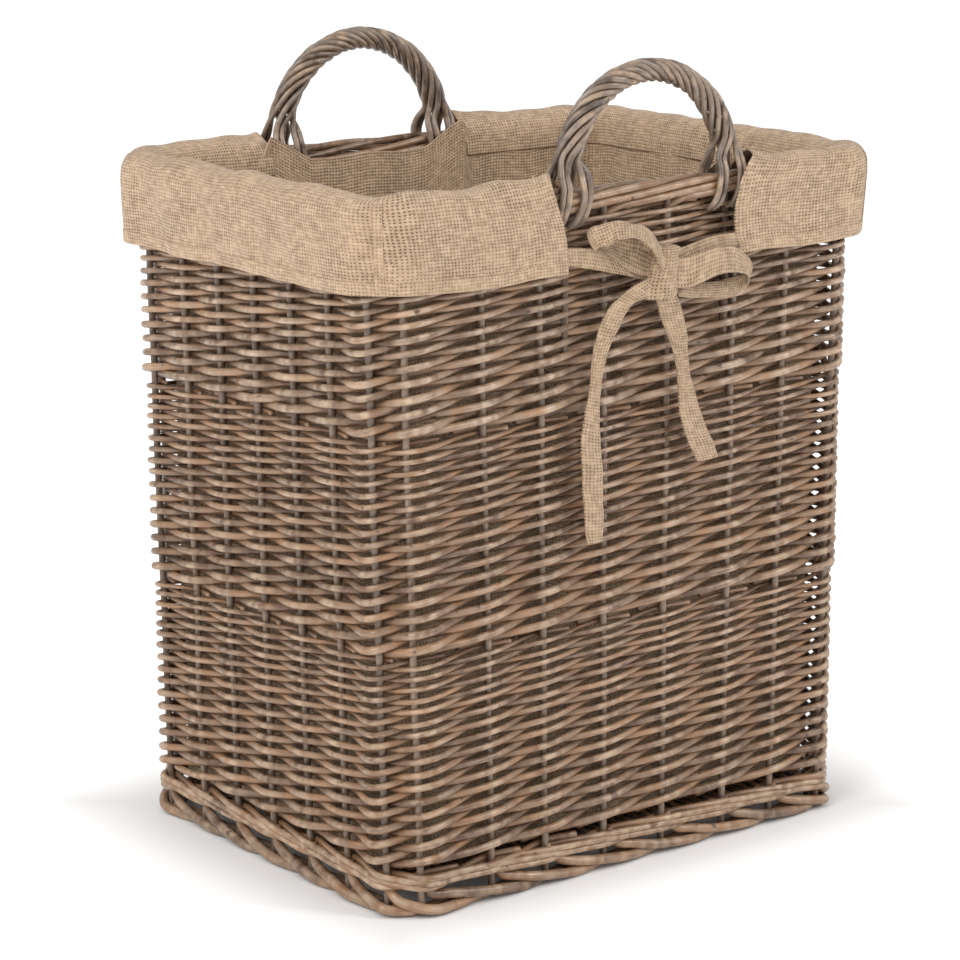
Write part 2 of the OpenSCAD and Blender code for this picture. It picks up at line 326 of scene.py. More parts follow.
def store(mesh: bpy.types.Mesh, title: str, values: np.ndarray) -> None:
    """Keeps one number for each of a mesh's points, for its finish to read.

    Args:
        mesh: The mesh.
        title: The attribute's name.
        values: The numbers.
    """
    attribute = mesh.attributes.new(title, "FLOAT", "POINT")
    attribute.data.foreach_set("value", values.astype(np.float32))


@dataclass
class RodBundle:
    """Rods gathered into one mesh, each swept along its own run.

    The mesh carries a UV map (metres along a rod, share of the way round it) and two values for
    its finish: tint, a number of its own for each rod, and crown, where a rod is bent outwards and
    its finish lays a paler colour, part rubbed wear and part painted highlight.
    """

    sides: int = 8
    end_reach: float = 0.16
    end_size: float = 0.7
    points: list[np.ndarray] = field(default_factory=list)
    faces: list[list[int]] = field(default_factory=list)
    uvs: list[tuple[float, float]] = field(default_factory=list)
    tints: list[np.ndarray] = field(default_factory=list)
    crowns: list[np.ndarray] = field(default_factory=list)
    used: int = 0

    def add(
        self,
        run: np.ndarray,
        diameter: Union[float, np.ndarray],
        tint: float,
        crown: Optional[np.ndarray] = None,
        flat: float = 1.0,
    ) -> None:
        """Sweeps one rod along a run and closes its cut ends.

        Args:
            run: Rows of x, y, z along its middle.
            diameter: Its diameter, or one for each row.
            tint: Its own number from 0 to 1.
            crown: From 0 to 1 for each row, how far it is bent outwards there.
            flat: Its height over its width, below 1 where it is pressed flat.
        """
        run = np.asarray(run, float)
        widths = np.broadcast_to(np.asarray(diameter, float), (len(run),)).copy()
        crown = np.zeros(len(run)) if crown is None else np.asarray(crown, float)
        tangent = np.gradient(run, axis=0)
        tangent /= np.linalg.norm(tangent, axis=1)[:, None]
        first = run[0] - tangent[0] * widths[0] * self.end_reach
        last = run[-1] + tangent[-1] * widths[-1] * self.end_reach
        run = np.vstack([first, run, last])
        tangent = np.vstack([tangent[:1], tangent, tangent[-1:]])
        widths = np.concatenate([widths[:1] * self.end_size, widths, widths[-1:] * self.end_size])
        crown = np.concatenate([crown[:1], crown, crown[-1:]])
        normal = np.cross(tangent[0], (0.0, 0.0, 1.0))
        if np.linalg.norm(normal) < 0.2:
            normal = np.cross(tangent[0], (1.0, 0.0, 0.0))
        normals = np.empty_like(run)
        for n, t in enumerate(tangent):
            normal = normal - t * normal.dot(t)
            normal /= math.sqrt(normal.dot(normal))
            normals[n] = normal
        across = np.cross(tangent, normals) * flat
        turns = np.linspace(0, 2 * np.pi, self.sides, endpoint=False)
        ring = normals[:, None] * np.cos(turns)[:, None] + across[:, None] * np.sin(turns)[:, None]
        self.points.append((run[:, None] + ring * (widths / 2)[:, None, None]).reshape(-1, 3))
        self.tints.append(np.full(len(run) * self.sides, tint))
        self.crowns.append(np.repeat(crown, self.sides))
        along = distances(run) * MM
        k = self.sides
        for i in range(len(run) - 1):
            base = self.used + i * k
            for j in range(k):
                m = (j + 1) % k
                self.faces.append([base + j, base + m, base + k + m, base + k + j])
                near, far = along[i], along[i + 1]
                a, b = j / k, (j + 1) / k
                self.uvs += [(near, a), (near, b), (far, b), (far, a)]
        ends = ((0, along[0], range(k - 1, -1, -1)), ((len(run) - 1) * k, along[-1], range(k)))
        for start, u, order in ends:
            self.faces.append([self.used + start + j for j in order])
            self.uvs += [(u, j / k) for j in order]
        self.used += len(run) * k

    def build(self, name: str) -> bpy.types.Object:
        """Makes the rods into one object.

        Args:
            name: The piece's name.

        Returns:
            The piece, at the origin.
        """
        mesh = bpy.data.meshes.new(name)
        mesh.from_pydata((np.vstack(self.points) * MM).tolist(), [], self.faces)
        layer = mesh.uv_layers.new(name="run")
        layer.data.foreach_set("uv", np.array(self.uvs, np.float32).ravel())
        store(mesh, "tint", np.concatenate(self.tints))
        store(mesh, "crown", np.concatenate(self.crowns))
        piece = place_object(name, mesh)
        soften(piece)
        return piece


@dataclass
class ClothGrid:
    """A sheet of cloth as rows and columns of points, with its threads' places in metres."""

    points: np.ndarray

    def sizes(self) -> tuple[float, float]:
        """Mean length of the sheet along its rows and along its columns, in metres."""
        along, down = distances(self.points, 1)[:, -1], distances(self.points, 0)[-1]
        return float(along.mean() * MM), float(down.mean() * MM)

    def build(self, name: str, thickness: float, smooth_levels: int = 1) -> bpy.types.Object:
        """Makes the sheet into an object with two faces.

        Args:
            name: The piece's name.
            thickness: The cloth's thickness.
            smooth_levels: How often the finished sheet is subdivided.

        Returns:
            The piece, at the origin.
        """
        rows, columns = self.points.shape[:2]
        n = np.arange(rows * columns).reshape(rows, columns)
        quads = np.stack([n[:-1, :-1], n[:-1, 1:], n[1:, 1:], n[1:, :-1]], -1).reshape(-1, 4)
        along, down = distances(self.points, 1).mean(0), distances(self.points, 0).mean(1)
        uv = np.stack(np.meshgrid(along, down), -1).reshape(-1, 2) * MM
        mesh = bpy.data.meshes.new(name)
        mesh.from_pydata((self.points.reshape(-1, 3) * MM).tolist(), [], quads.tolist())
        layer = mesh.uv_layers.new(name="run")
        layer.data.foreach_set("uv", uv[quads.ravel()].astype(np.float32).ravel())
        piece = place_object(name, mesh)
        apply_modifier(piece, "SOLIDIFY", thickness=thickness * MM, offset=0.0)
        if smooth_levels:
            apply_modifier(piece, "SUBSURF", levels=smooth_levels, render_levels=smooth_levels)
        soften(piece, 80.0)
        return piece


# ---------------------------------------------------------------- finishes


class Graph:
    """A node tree being wired, with short ways to add the nodes that the finishes use."""

    def __init__(self, tree: bpy.types.NodeTree) -> None:
        """Keeps the tree."""
        self.tree = tree

    def add(self, kind: str, inputs: dict[Union[int, str], Value], **settings: object) -> bpy.types.Node:
        """Adds one node.

        Args:
            kind: Blender's name for the kind of node.
            inputs: What each input takes: a socket to link, or a value.
            **settings: The node's own settings.

        Returns:
            The node.
        """
        node = self.tree.nodes.new(kind)
        for name, value in settings.items():
            setattr(node, name, value)
        for key, value in inputs.items():
            if isinstance(value, bpy.types.NodeSocket):
                self.tree.links.new(value, node.inputs[key])
            elif node.inputs[key].type == "RGBA":
                node.inputs[key].default_value = (*value, 1.0)
            else:
                node.inputs[key].default_value = value
        return node

    def math(self, operation: str, a: Value, b: Value = 0.0, clamp: bool = False) -> bpy.types.NodeSocket:
        """The result of a Math node."""
        return self.add("ShaderNodeMath", {0: a, 1: b}, operation=operation, use_clamp=clamp).outputs[0]

    def times(self, a: Value, b: Value) -> bpy.types.NodeSocket:
        """The product of two values."""
        return self.math("MULTIPLY", a, b)

    def plus(self, a: Value, b: Value) -> bpy.types.NodeSocket:
        """The sum of two values."""
        return self.math("ADD", a, b)

    def minus(self, a: Value, b: Value, clamp: bool = False) -> bpy.types.NodeSocket:
        """The difference of two values."""
        return self.math("SUBTRACT", a, b, clamp)

    def mix(self, factor: Value, a: Value, b: Value, blend: str = "MIX") -> bpy.types.NodeSocket:
        """The colour of a Mix node."""
        inputs = {0: factor, 6: a, 7: b}
        return self.add("ShaderNodeMix", inputs, data_type="RGBA", blend_type=blend).outputs[2]

    def ramp(
        self, value: Value, low: float, high: float, start: float = 0.0, end: float = 1.0
    ) -> bpy.types.NodeSocket:
        """A value taken smoothly from one range to another."""
        inputs = {"Value": value, "From Min": low, "From Max": high, "To Min": start, "To Max": end}
        return self.add("ShaderNodeMapRange", inputs, interpolation_type="SMOOTHSTEP").outputs[0]

    def noise(self, vector: Value, scale: float, detail: float = 2.0) -> bpy.types.NodeSocket:
        """The value of a Noise Texture."""
        inputs = {"Vector": vector, "Scale": scale, "Detail": detail}
        return self.add("ShaderNodeTexNoise", inputs).outputs[0]

    def split(self, vector: Value) -> tuple[bpy.types.NodeSocket, ...]:
        """The three parts of a vector."""
        return tuple(self.add("ShaderNodeSeparateXYZ", {0: vector}).outputs)

    def join(self, x: Value, y: Value, z: Value) -> bpy.types.NodeSocket:
        """A vector from three parts."""
        return self.add("ShaderNodeCombineXYZ", {0: x, 1: y, 2: z}).outputs[0]

    def surface(self, look: dict[str, Value], strength: float, relief: float, **shine: float) -> None:
        """Ends a material with its bump and its shader.

        Args:
            look: The sockets or values of Color, Roughness and Height.
            strength: The bump's strength.
            relief: The bump's depth in millimetres.
            **shine: Other inputs of the shader, with _ for each space in their names.
        """
        depth = {"Height": look["Height"], "Strength": strength, "Distance": relief * MM}
        bump = self.add("ShaderNodeBump", depth).outputs[0]
        inputs = {"Base Color": look["Color"], "Roughness": look["Roughness"], "Normal": bump}
        inputs |= {name.replace("_", " "): value for name, value in shine.items()}
        shader = self.add("ShaderNodeBsdfPrincipled", inputs)
        self.add("ShaderNodeOutputMaterial", {0: shader.outputs[0]})


def new_material(name: str) -> tuple[bpy.types.Material, Graph]:
    """An empty material and a graph to wire it with."""
    made = bpy.data.materials.new(name)
    made.use_nodes = True
    made.node_tree.nodes.clear()
    return made, Graph(made.node_tree)


def new_group(name: str, inputs: dict[str, str], outputs: dict[str, str]) -> tuple[bpy.types.NodeTree, Graph]:
    """An empty shader node group with named sockets.

    Args:
        name: The group's name.
        inputs: Each input's name and socket type.
        outputs: Each output's name and socket type.

    Returns:
        The group and a graph to wire it with.
    """
    tree = bpy.data.node_groups.new(name, "ShaderNodeTree")
    for title, kind in inputs.items():
        tree.interface.new_socket(title, in_out="INPUT", socket_type=kind)
    for title, kind in outputs.items():
        tree.interface.new_socket(title, in_out="OUTPUT", socket_type=kind)
    return tree, Graph(tree)


def bark_group() -> bpy.types.NodeTree:
    """The look of willow with its bark on: mottled, streaked along the rod, with knots, and crowns paler with
    rubbing and painted highlight.

    Returns:
        The node group.
    """
    colour, value = "NodeSocketColor", "NodeSocketFloat"
    tree, g = new_group(
        "willow_bark",
        {
            "Run": "NodeSocketVector", "Tint": value, "Crown": value,
            "Deep": colour, "Warm": colour, "Wash": colour, "Rubbed": colour,
            "Wash Share": value, "Rub Share": value,
        },
        {"Color": colour, "Roughness": value, "Height": value},
    )
    put = g.add("NodeGroupInput", {}).outputs
    along, around, _ = g.split(put["Run"])
    turn = g.times(around, 2 * math.pi)
    own = g.times(put["Tint"], 37.0)
    across = g.plus(g.times(g.math("COSINE", turn), 0.0022), own)
    upward = g.times(g.math("SINE", turn), 0.0022)
    rod = g.join(along, across, upward)
    patches = g.noise(rod, 34.0, 3.0)
    stretched = g.join(g.times(along, 0.10), across, upward)
    streaks = g.noise(stretched, 700.0, 2.0)
    mottle = g.noise(rod, 240.0, 3.0)
    warmth = g.ramp(g.plus(patches, g.times(put["Tint"], 0.42)), 0.45, 0.95)
    base = g.mix(warmth, put["Deep"], put["Warm"])
    washed = g.ramp(g.plus(g.noise(rod, 75.0, 3.0), g.times(mottle, 0.5)), 0.55, 0.95)
    base = g.mix(g.times(washed, put["Wash Share"]), base, put["Wash"])
    # Painted highlight with rubbed wear: a paler colour laid where the rods bend outwards, mottled by noise.
    rub_and_highlight_mask = g.times(put["Crown"], g.ramp(g.noise(rod, 130.0, 4.0), 0.36, 0.66))
    base = g.mix(g.times(rub_and_highlight_mask, put["Rub Share"]), base, put["Rubbed"])
    streak = g.ramp(streaks, 0.25, 0.75, 0.78, 1.18)
    grey = g.add("ShaderNodeCombineColor", {n: streak for n in range(3)}).outputs[0]
    base = g.mix(1.0, base, grey, "MULTIPLY")
    knots = g.ramp(g.noise(g.join(g.times(along, 0.8), across, upward), 165.0, 1.0), 0.72, 0.78)
    base = g.mix(g.times(knots, 0.75), base, (0.035, 0.022, 0.016))
    rough = g.ramp(mottle, 0.2, 0.8, 0.27, 0.46)
    height = g.plus(g.times(streaks, 0.5), g.times(mottle, 0.5))
    height = g.minus(height, g.times(knots, 0.5))
    g.add("NodeGroupOutput", {"Color": base, "Roughness": rough, "Height": height})
    return tree


def weave_group() -> bpy.types.NodeTree:
    """The look of an open plain weave: threads over and under each other, with gaps between them; the gaps,
    the threads' edges and their dips under crossing threads are darkened as painted shade.

    Returns:
        The node group.
    """
    colour, value = "NodeSocketColor", "NodeSocketFloat"
    tree, g = new_group(
        "open_weave",
        {
            "Run": "NodeSocketVector", "Warp Pitch": value, "Weft Pitch": value, "Fullness": value,
            "Thread": colour, "Pale Thread": colour, "Gap": colour,
        },
        {"Color": colour, "Roughness": value, "Height": value},
    )
    put = g.add("NodeGroupInput", {}).outputs
    along, down, _ = g.split(put["Run"])
    drift = g.times(g.minus(g.noise(put["Run"], 26.0, 2.0), 0.5), 0.0042)
    sway = g.times(g.minus(g.noise(put["Run"], 210.0, 1.0), 0.5), 0.0011)
    u = g.math("DIVIDE", g.plus(along, g.plus(drift, sway)), put["Warp Pitch"])
    v = g.math("DIVIDE", g.minus(down, g.minus(drift, sway)), put["Weft Pitch"])
    full = g.times(put["Fullness"], g.ramp(g.noise(put["Run"], 38.0, 3.0), 0.3, 0.7, 0.9, 1.12))
    cells = {name: g.math("FLOOR", part) for name, part in (("u", u), ("v", v))}

    def thread(part: bpy.types.NodeSocket, cell: bpy.types.NodeSocket, length: bpy.types.NodeSocket) -> tuple:
        """One set of threads: the round section across it, and its slubs and shade along it."""
        own = g.join(g.times(cell, 7.31), g.times(length, 0.22), 0.0)
        slub = g.noise(own, 1.3, 2.0)
        half = g.times(full, g.ramp(slub, 0.25, 0.8, 0.38, 0.57))
        aside = g.math("ABSOLUTE", g.minus(g.math("FRACT", part), 0.5))
        ratio = g.math("DIVIDE", aside, half)
        section = g.math("SQRT", g.minus(1.0, g.times(ratio, ratio), True))
        return section, slub

    section_u, slub_u = thread(u, cells["u"], v)
    section_v, slub_v = thread(v, cells["v"], u)
    over_u = g.math("SINE", g.times(g.plus(v, cells["u"]), math.pi))
    under_v = g.math("SINE", g.times(g.plus(u, cells["v"]), math.pi))
    over_v = g.times(under_v, -1.0)
    top_u = g.times(section_u, g.plus(0.62, g.times(over_u, 0.38)))
    top_v = g.times(section_v, g.plus(0.62, g.times(over_v, 0.38)))
    height = g.math("MAXIMUM", top_u, top_v)
    slub = g.times(g.plus(slub_u, slub_v), 0.5)
    fibres = g.noise(put["Run"], 2600.0, 2.0)
    shade = g.ramp(g.plus(g.times(slub, 0.8), g.times(fibres, 0.35)), 0.35, 0.8)
    base = g.mix(shade, put["Thread"], put["Pale Thread"])
    # Painted shade: the gaps, the threads' edges and the dips under crossing threads take the dark gap
    # colour.
    base = g.mix(g.ramp(height, 0.12, 0.62), put["Gap"], base)
    relief = g.plus(height, g.times(fibres, 0.12))
    rough = g.ramp(slub, 0.2, 0.8, 0.82, 0.95)
    g.add("NodeGroupOutput", {"Color": base, "Roughness": rough, "Height": relief})
    return tree


@dataclass(frozen=True)
class WillowFinish:
    """Antique-washed willow: four colours, and how much of the pale wash and of the crowns' rubbing and
    painted highlight shows.
    """

    name: str
    deep: Colour
    warm: Colour
    wash: Colour
    rub_and_highlight: Colour
    wash_share: float = 0.6
    rub_and_highlight_share: float = 0.8
    relief: float = 0.35

    def material(self, group: bpy.types.NodeTree) -> bpy.types.Material:
        """Builds the material.

        Args:
            group: The bark node group.

        Returns:
            The material.
        """
        made, g = new_material(self.name)
        inputs = {
            "Run": g.add("ShaderNodeUVMap", {}, uv_map="run").outputs[0],
            "Tint": g.add("ShaderNodeAttribute", {}, attribute_name="tint").outputs["Fac"],
            "Crown": g.add("ShaderNodeAttribute", {}, attribute_name="crown").outputs["Fac"],
            "Deep": self.deep, "Warm": self.warm, "Wash": self.wash, "Rubbed": self.rub_and_highlight,
            "Wash Share": self.wash_share, "Rub Share": self.rub_and_highlight_share,
        }
        node = g.add("ShaderNodeGroup", inputs, node_tree=group)
        g.surface(node.outputs, 0.7, self.relief, Specular_IOR_Level=0.62)
        return made


@dataclass(frozen=True)
class ClothFinish:
    """Open jute cloth: its thread pitches in metres, how full its threads are, and its colours, the gap
    colour being painted shade.
    """

    name: str
    warp_pitch: float
    weft_pitch: float
    fullness: float
    thread: Colour
    pale: Colour
    gap: Colour
    relief: float = 0.8

    def material(self, group: bpy.types.NodeTree) -> bpy.types.Material:
        """Builds the material.

        Args:
            group: The open weave node group.

        Returns:
            The material.
        """
        made, g = new_material(self.name)
        inputs = {
            "Run": g.add("ShaderNodeUVMap", {}, uv_map="run").outputs[0],
            "Warp Pitch": self.warp_pitch, "Weft Pitch": self.weft_pitch, "Fullness": self.fullness,
            "Thread": self.thread, "Pale Thread": self.pale, "Gap": self.gap,
        }
        node = g.add("ShaderNodeGroup", inputs, node_tree=group)
        shine = {"Specular_IOR_Level": 0.2, "Sheen_Weight": 0.12, "Sheen_Roughness": 0.6}
        g.surface(node.outputs, 0.8, self.relief, **shine)
        return made


@dataclass(frozen=True)
class RoundFinish:
    """Bare willow on plain round CAD rods, streaked along X or along Z."""

    name: str
    deep: Colour
    pale: Colour
    along_x: bool
    relief: float = 0.3

    def material(self) -> bpy.types.Material:
        """Builds the material."""
        made, g = new_material(self.name)
        place = g.add("ShaderNodeTexCoord", {}).outputs["Object"]
        x, y, z = g.split(place)
        if self.along_x:
            squeezed = g.join(g.times(x, 0.08), y, z)
        else:
            squeezed = g.join(x, y, g.times(z, 0.08))
        streaks = g.noise(squeezed, 650.0, 3.0)
        patches = g.noise(place, 60.0, 3.0)
        mottle = g.plus(g.times(streaks, 0.6), g.times(patches, 0.5))
        shade = g.ramp(mottle, 0.35, 0.8)
        look = {
            "Color": g.mix(shade, self.deep, self.pale), "Height": streaks,
            "Roughness": g.ramp(patches, 0.2, 0.8, 0.45, 0.65),
        }
        g.surface(look, 0.5, self.relief, Specular_IOR_Level=0.4)
        return made


class Finish(Enum):
    """Every finish on the basket."""

    WEAVERS = "washed_weaving_willow"
    TIPS = "washed_upper_band_willow"
    STAKES = "washed_stake_willow"
    HANDLE = "washed_handle_willow"
    BASE = "washed_base_willow"
    HESSIAN = "lining_hessian"
    HEM = "doubled_hessian"
    RIBBON = "ribbon_hessian"
    CORE = "handle_core_willow"
    STICKS = "base_stick_willow"


def make_finishes() -> dict[Finish, bpy.types.Material]:
    """Builds each finish once.

    Returns:
        The material for each finish.
    """
    bark, weave = bark_group(), weave_group()
    deep, warm = (0.092, 0.044, 0.021), (0.30, 0.158, 0.078)
    # The fourth colour of each willow finish is laid on the crowns: part rubbed wear, part painted highlight.
    wash, rub_and_highlight = (0.27, 0.184, 0.122), (0.46, 0.33, 0.225)
    willow = {
        Finish.WEAVERS: (deep, warm, wash, rub_and_highlight, 0.62, 0.85),
        # The upper band's willow is given paler colours than the bands below.
        Finish.TIPS: (
            (0.115, 0.06, 0.031), (0.355, 0.2, 0.107), (0.33, 0.235, 0.163), (0.52, 0.385, 0.275), 0.64, 0.88,
        ),
        Finish.STAKES: ((0.08, 0.05, 0.034), (0.19, 0.125, 0.082), (0.25, 0.19, 0.148), rub_and_highlight, 0.6, 0.6),
        Finish.HANDLE: ((0.068, 0.045, 0.031), (0.2, 0.137, 0.094), (0.29, 0.232, 0.195), rub_and_highlight, 0.7, 0.85),
        Finish.BASE: (deep, warm, wash, rub_and_highlight, 0.4, 0.4),
    }
    # The third colour is painted shade in the gaps between threads.
    hessian = ((0.37, 0.255, 0.158), (0.60, 0.435, 0.295), (0.115, 0.07, 0.042))
    cloth = {
        Finish.HESSIAN: (0.0025, 0.0022, 0.86, *hessian),
        Finish.HEM: (0.0025, 0.0022, 0.95, *hessian),
        # The ribbon's third colour is likewise painted shade in its gaps.
        Finish.RIBBON: (
            0.0023, 0.0022, 0.90, (0.35, 0.24, 0.148), (0.56, 0.405, 0.27), (0.11, 0.068, 0.04),
        ),
    }
    rounds = {
        Finish.CORE: ((0.07, 0.045, 0.03), (0.24, 0.16, 0.11), False),
        Finish.STICKS: ((0.16, 0.10, 0.065), (0.38, 0.28, 0.20), True),
    }
    made = {key: WillowFinish(key.value, *values).material(bark) for key, values in willow.items()}
    made |= {key: ClothFinish(key.value, *values).material(weave) for key, values in cloth.items()}
    made |= {key: RoundFinish(key.value, *values).material() for key, values in rounds.items()}
    return made


# ---------------------------------------------------------------- willow work


@dataclass
class Work:
    """What the willow work and the lining share: the stakes, the finishes and how a piece is dressed."""

    ring: StakeRing
    finishes: dict[Finish, bpy.types.Material]
    body: str

    def paint(self, mesh: bpy.types.Mesh, finish: Finish) -> None:
        """Gives a mesh its one finish."""
        mesh.materials.clear()
        mesh.materials.append(self.finishes[finish])

    def dress(self, piece: bpy.types.Object, finish: Finish, slot: str, *nodes: str) -> bpy.types.Object:
        """Gives a piece its finish and body, hides the CAD nodes that it stands for and names them in the
        log.

        Args:
            piece: The finished piece.
            finish: Its one finish.
            slot: Not used.
            *nodes: The CAD nodes that it takes the place of.

        Returns:
            The piece.
        """
        self.paint(piece.data, finish)
        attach(piece, self.body)
        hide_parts(*nodes)
        LOG.info("%s stands for %s", piece.name, ", ".join(nodes))
        return piece


@dataclass
class RandedBand:
    """A band of French randing: one rod for each stake, worked in front of one and behind the next.

    The rods start with their thick butts at the foot of the band and rise to their thin tips.
    """

    node: str
    name: str
    seed: int
    strokes: int = 32
    butt: float = 5.5
    tip: float = 3.1
    butt_share: float = 0.625
    thinning: float = 0.9
    start_tuck: float = 0.35
    end_tuck: float = 0.4
    size_range: tuple[float, float] = (0.93, 1.07)
    slack_range: tuple[float, float] = (-0.25, 0.35)
    wander: float = 0.55
    wander_span: float = 9.0
    per_span: int = 8

    def build(self, ring: StakeRing, bundle: RodBundle, stake_d: float) -> bpy.types.Object:
        """Weaves the band.

        Args:
            ring: The stakes.
            bundle: An empty bundle to fill.
            stake_d: The stakes' diameter.

        Returns:
            The band.
        """
        low, high = node_box(self.node)[0][2], node_box(self.node)[1][2]
        rng = np.random.default_rng(self.seed)
        height = high - low - (self.butt + self.tip) / 2
        whole = np.arange(0, self.strokes + 1)
        strokes = np.concatenate([[-self.start_tuck], whole, [self.strokes + self.end_tuck]])
        share = strokes / self.strokes
        rise = 2 * self.butt_share * share + (1 - 2 * self.butt_share) * share**2
        for first in range(ring.count):
            size = rng.uniform(*self.size_range)
            taper = (self.butt + (self.tip - self.butt) * share.clip(0, 1) ** self.thinning) * size
            wander = Ripple(self.seed * 97 + first, self.wander_span)(strokes)
            z = low + self.butt / 2 + rise * height + wander * self.wander
            front = np.where(np.round(strokes) % 2 == 1, 1.0, -1.0)
            front[0], front[-1] = -1.1, 0.2
            depth = (stake_d + taper) / 2 * front + rng.uniform(*self.slack_range, len(strokes))
            anchors = np.column_stack([ring.place(first + strokes, z, depth), taper, front])
            rows = smooth_run(anchors, self.per_span)
            # Crown marks the front passes, where the finish lays its paler colour, part rubbing and part
            # painted highlight.
            crown = (rows[:, 4].clip(0, 1)) ** 2
            bundle.add(rows[:, :3], rows[:, 3], rng.uniform(), crown)
        return bundle.build(self.name)


@dataclass
class WaledBand:
    """Three-rod waling: three rods, each in front of two stakes and behind one, twisting as they go."""

    node: str = "upsett_wale"
    name: str = "upsett_waling"
    laps: int = 2
    rods: int = 3
    rod_d: float = 4.6
    lift: float = 1.9
    twist_start: float = 0.6
    stand_off: float = 0.4
    unevenness: float = 0.06
    seed: int = 5

    def build(self, ring: StakeRing, bundle: RodBundle, stake_d: float) -> bpy.types.Object:
        """Weaves the band.

        Args:
            ring: The stakes.
            bundle: An empty bundle to fill.
            stake_d: The stakes' diameter.

        Returns:
            The band.
        """
        low, high = node_box(self.node)[0][2], node_box(self.node)[1][2]
        rng = np.random.default_rng(self.seed)
        steps = np.arange(0, self.laps * ring.count + 1, 0.5)
        reach = (stake_d + self.rod_d) / 2
        for first in range(self.rods):
            phase = steps % self.rods
            passing = (phase == 0.5) | (phase == self.rods - 0.5)
            out = np.where(phase == 0, -1.0, np.where(passing, 0.15, 1.0))
            wave = np.cos(2 * np.pi * (phase - self.twist_start) / self.rods)
            climb = (high - low - self.rod_d - 2 * self.lift) * steps / steps[-1]
            z = low + self.rod_d / 2 + self.lift + climb + wave * self.lift
            taper = self.rod_d * (1 + self.unevenness * Ripple(self.seed + first, 14.0)(steps))
            places = ring.place(first + steps, z, out * reach + self.stand_off)
            anchors = np.column_stack([places, taper, out])
            rows = smooth_run(anchors, 4)
            # Crown marks the passes in front of the stakes, for the paler colour, part rubbing and part
            # painted highlight.
            bundle.add(rows[:, :3], rows[:, 3], rng.uniform(), rows[:, 4].clip(0, 1) ** 2)
        return bundle.build(self.name)


@dataclass
class LaidBorder:
    """A border of laid rods: each stake's rod is bent down and worked along, the same way for every stake.

    Each row of route is: stakes past its own stake, distance out from the stake line, height, and
    share of the full diameter.
    """

    name: str
    seed: int
    rod_d: float
    base_z: float
    route: tuple[tuple[float, float, float, float], ...]
    jitter: tuple[float, float, float] = (0.05, 0.35, 0.35)
    size_range: tuple[float, float] = (0.94, 1.05)
    per_span: int = 7

    def build(self, ring: StakeRing, bundle: RodBundle) -> bpy.types.Object:
        """Works the border.

        Args:
            ring: The stakes.
            bundle: An empty bundle to fill.

        Returns:
            The border.
        """
        rng = np.random.default_rng(self.seed)
        route = np.array(self.route)
        for first in range(ring.count):
            jitter = rng.uniform(-1, 1, (len(route), 3)) * self.jitter
            size = rng.uniform(*self.size_range)
            t = first + route[:, 0] + jitter[:, 0]
            z = self.base_z + route[:, 2] + jitter[:, 2]
            places = ring.place(t, z, route[:, 1] + jitter[:, 1])
            rows = smooth_run(np.column_stack([places, route[:, 3] * self.rod_d * size]), self.per_span)
            # Crown is strongest about a third along each rod, for the paler colour, part rubbing and part
            # painted highlight.
            crown = np.interp(np.linspace(0, 1, len(rows)), [0, 0.3, 0.6, 1], [0.1, 0.7, 0.5, 0.1])
            bundle.add(rows[:, :3], rows[:, 3], rng.uniform(), crown)
        return bundle.build(self.name)


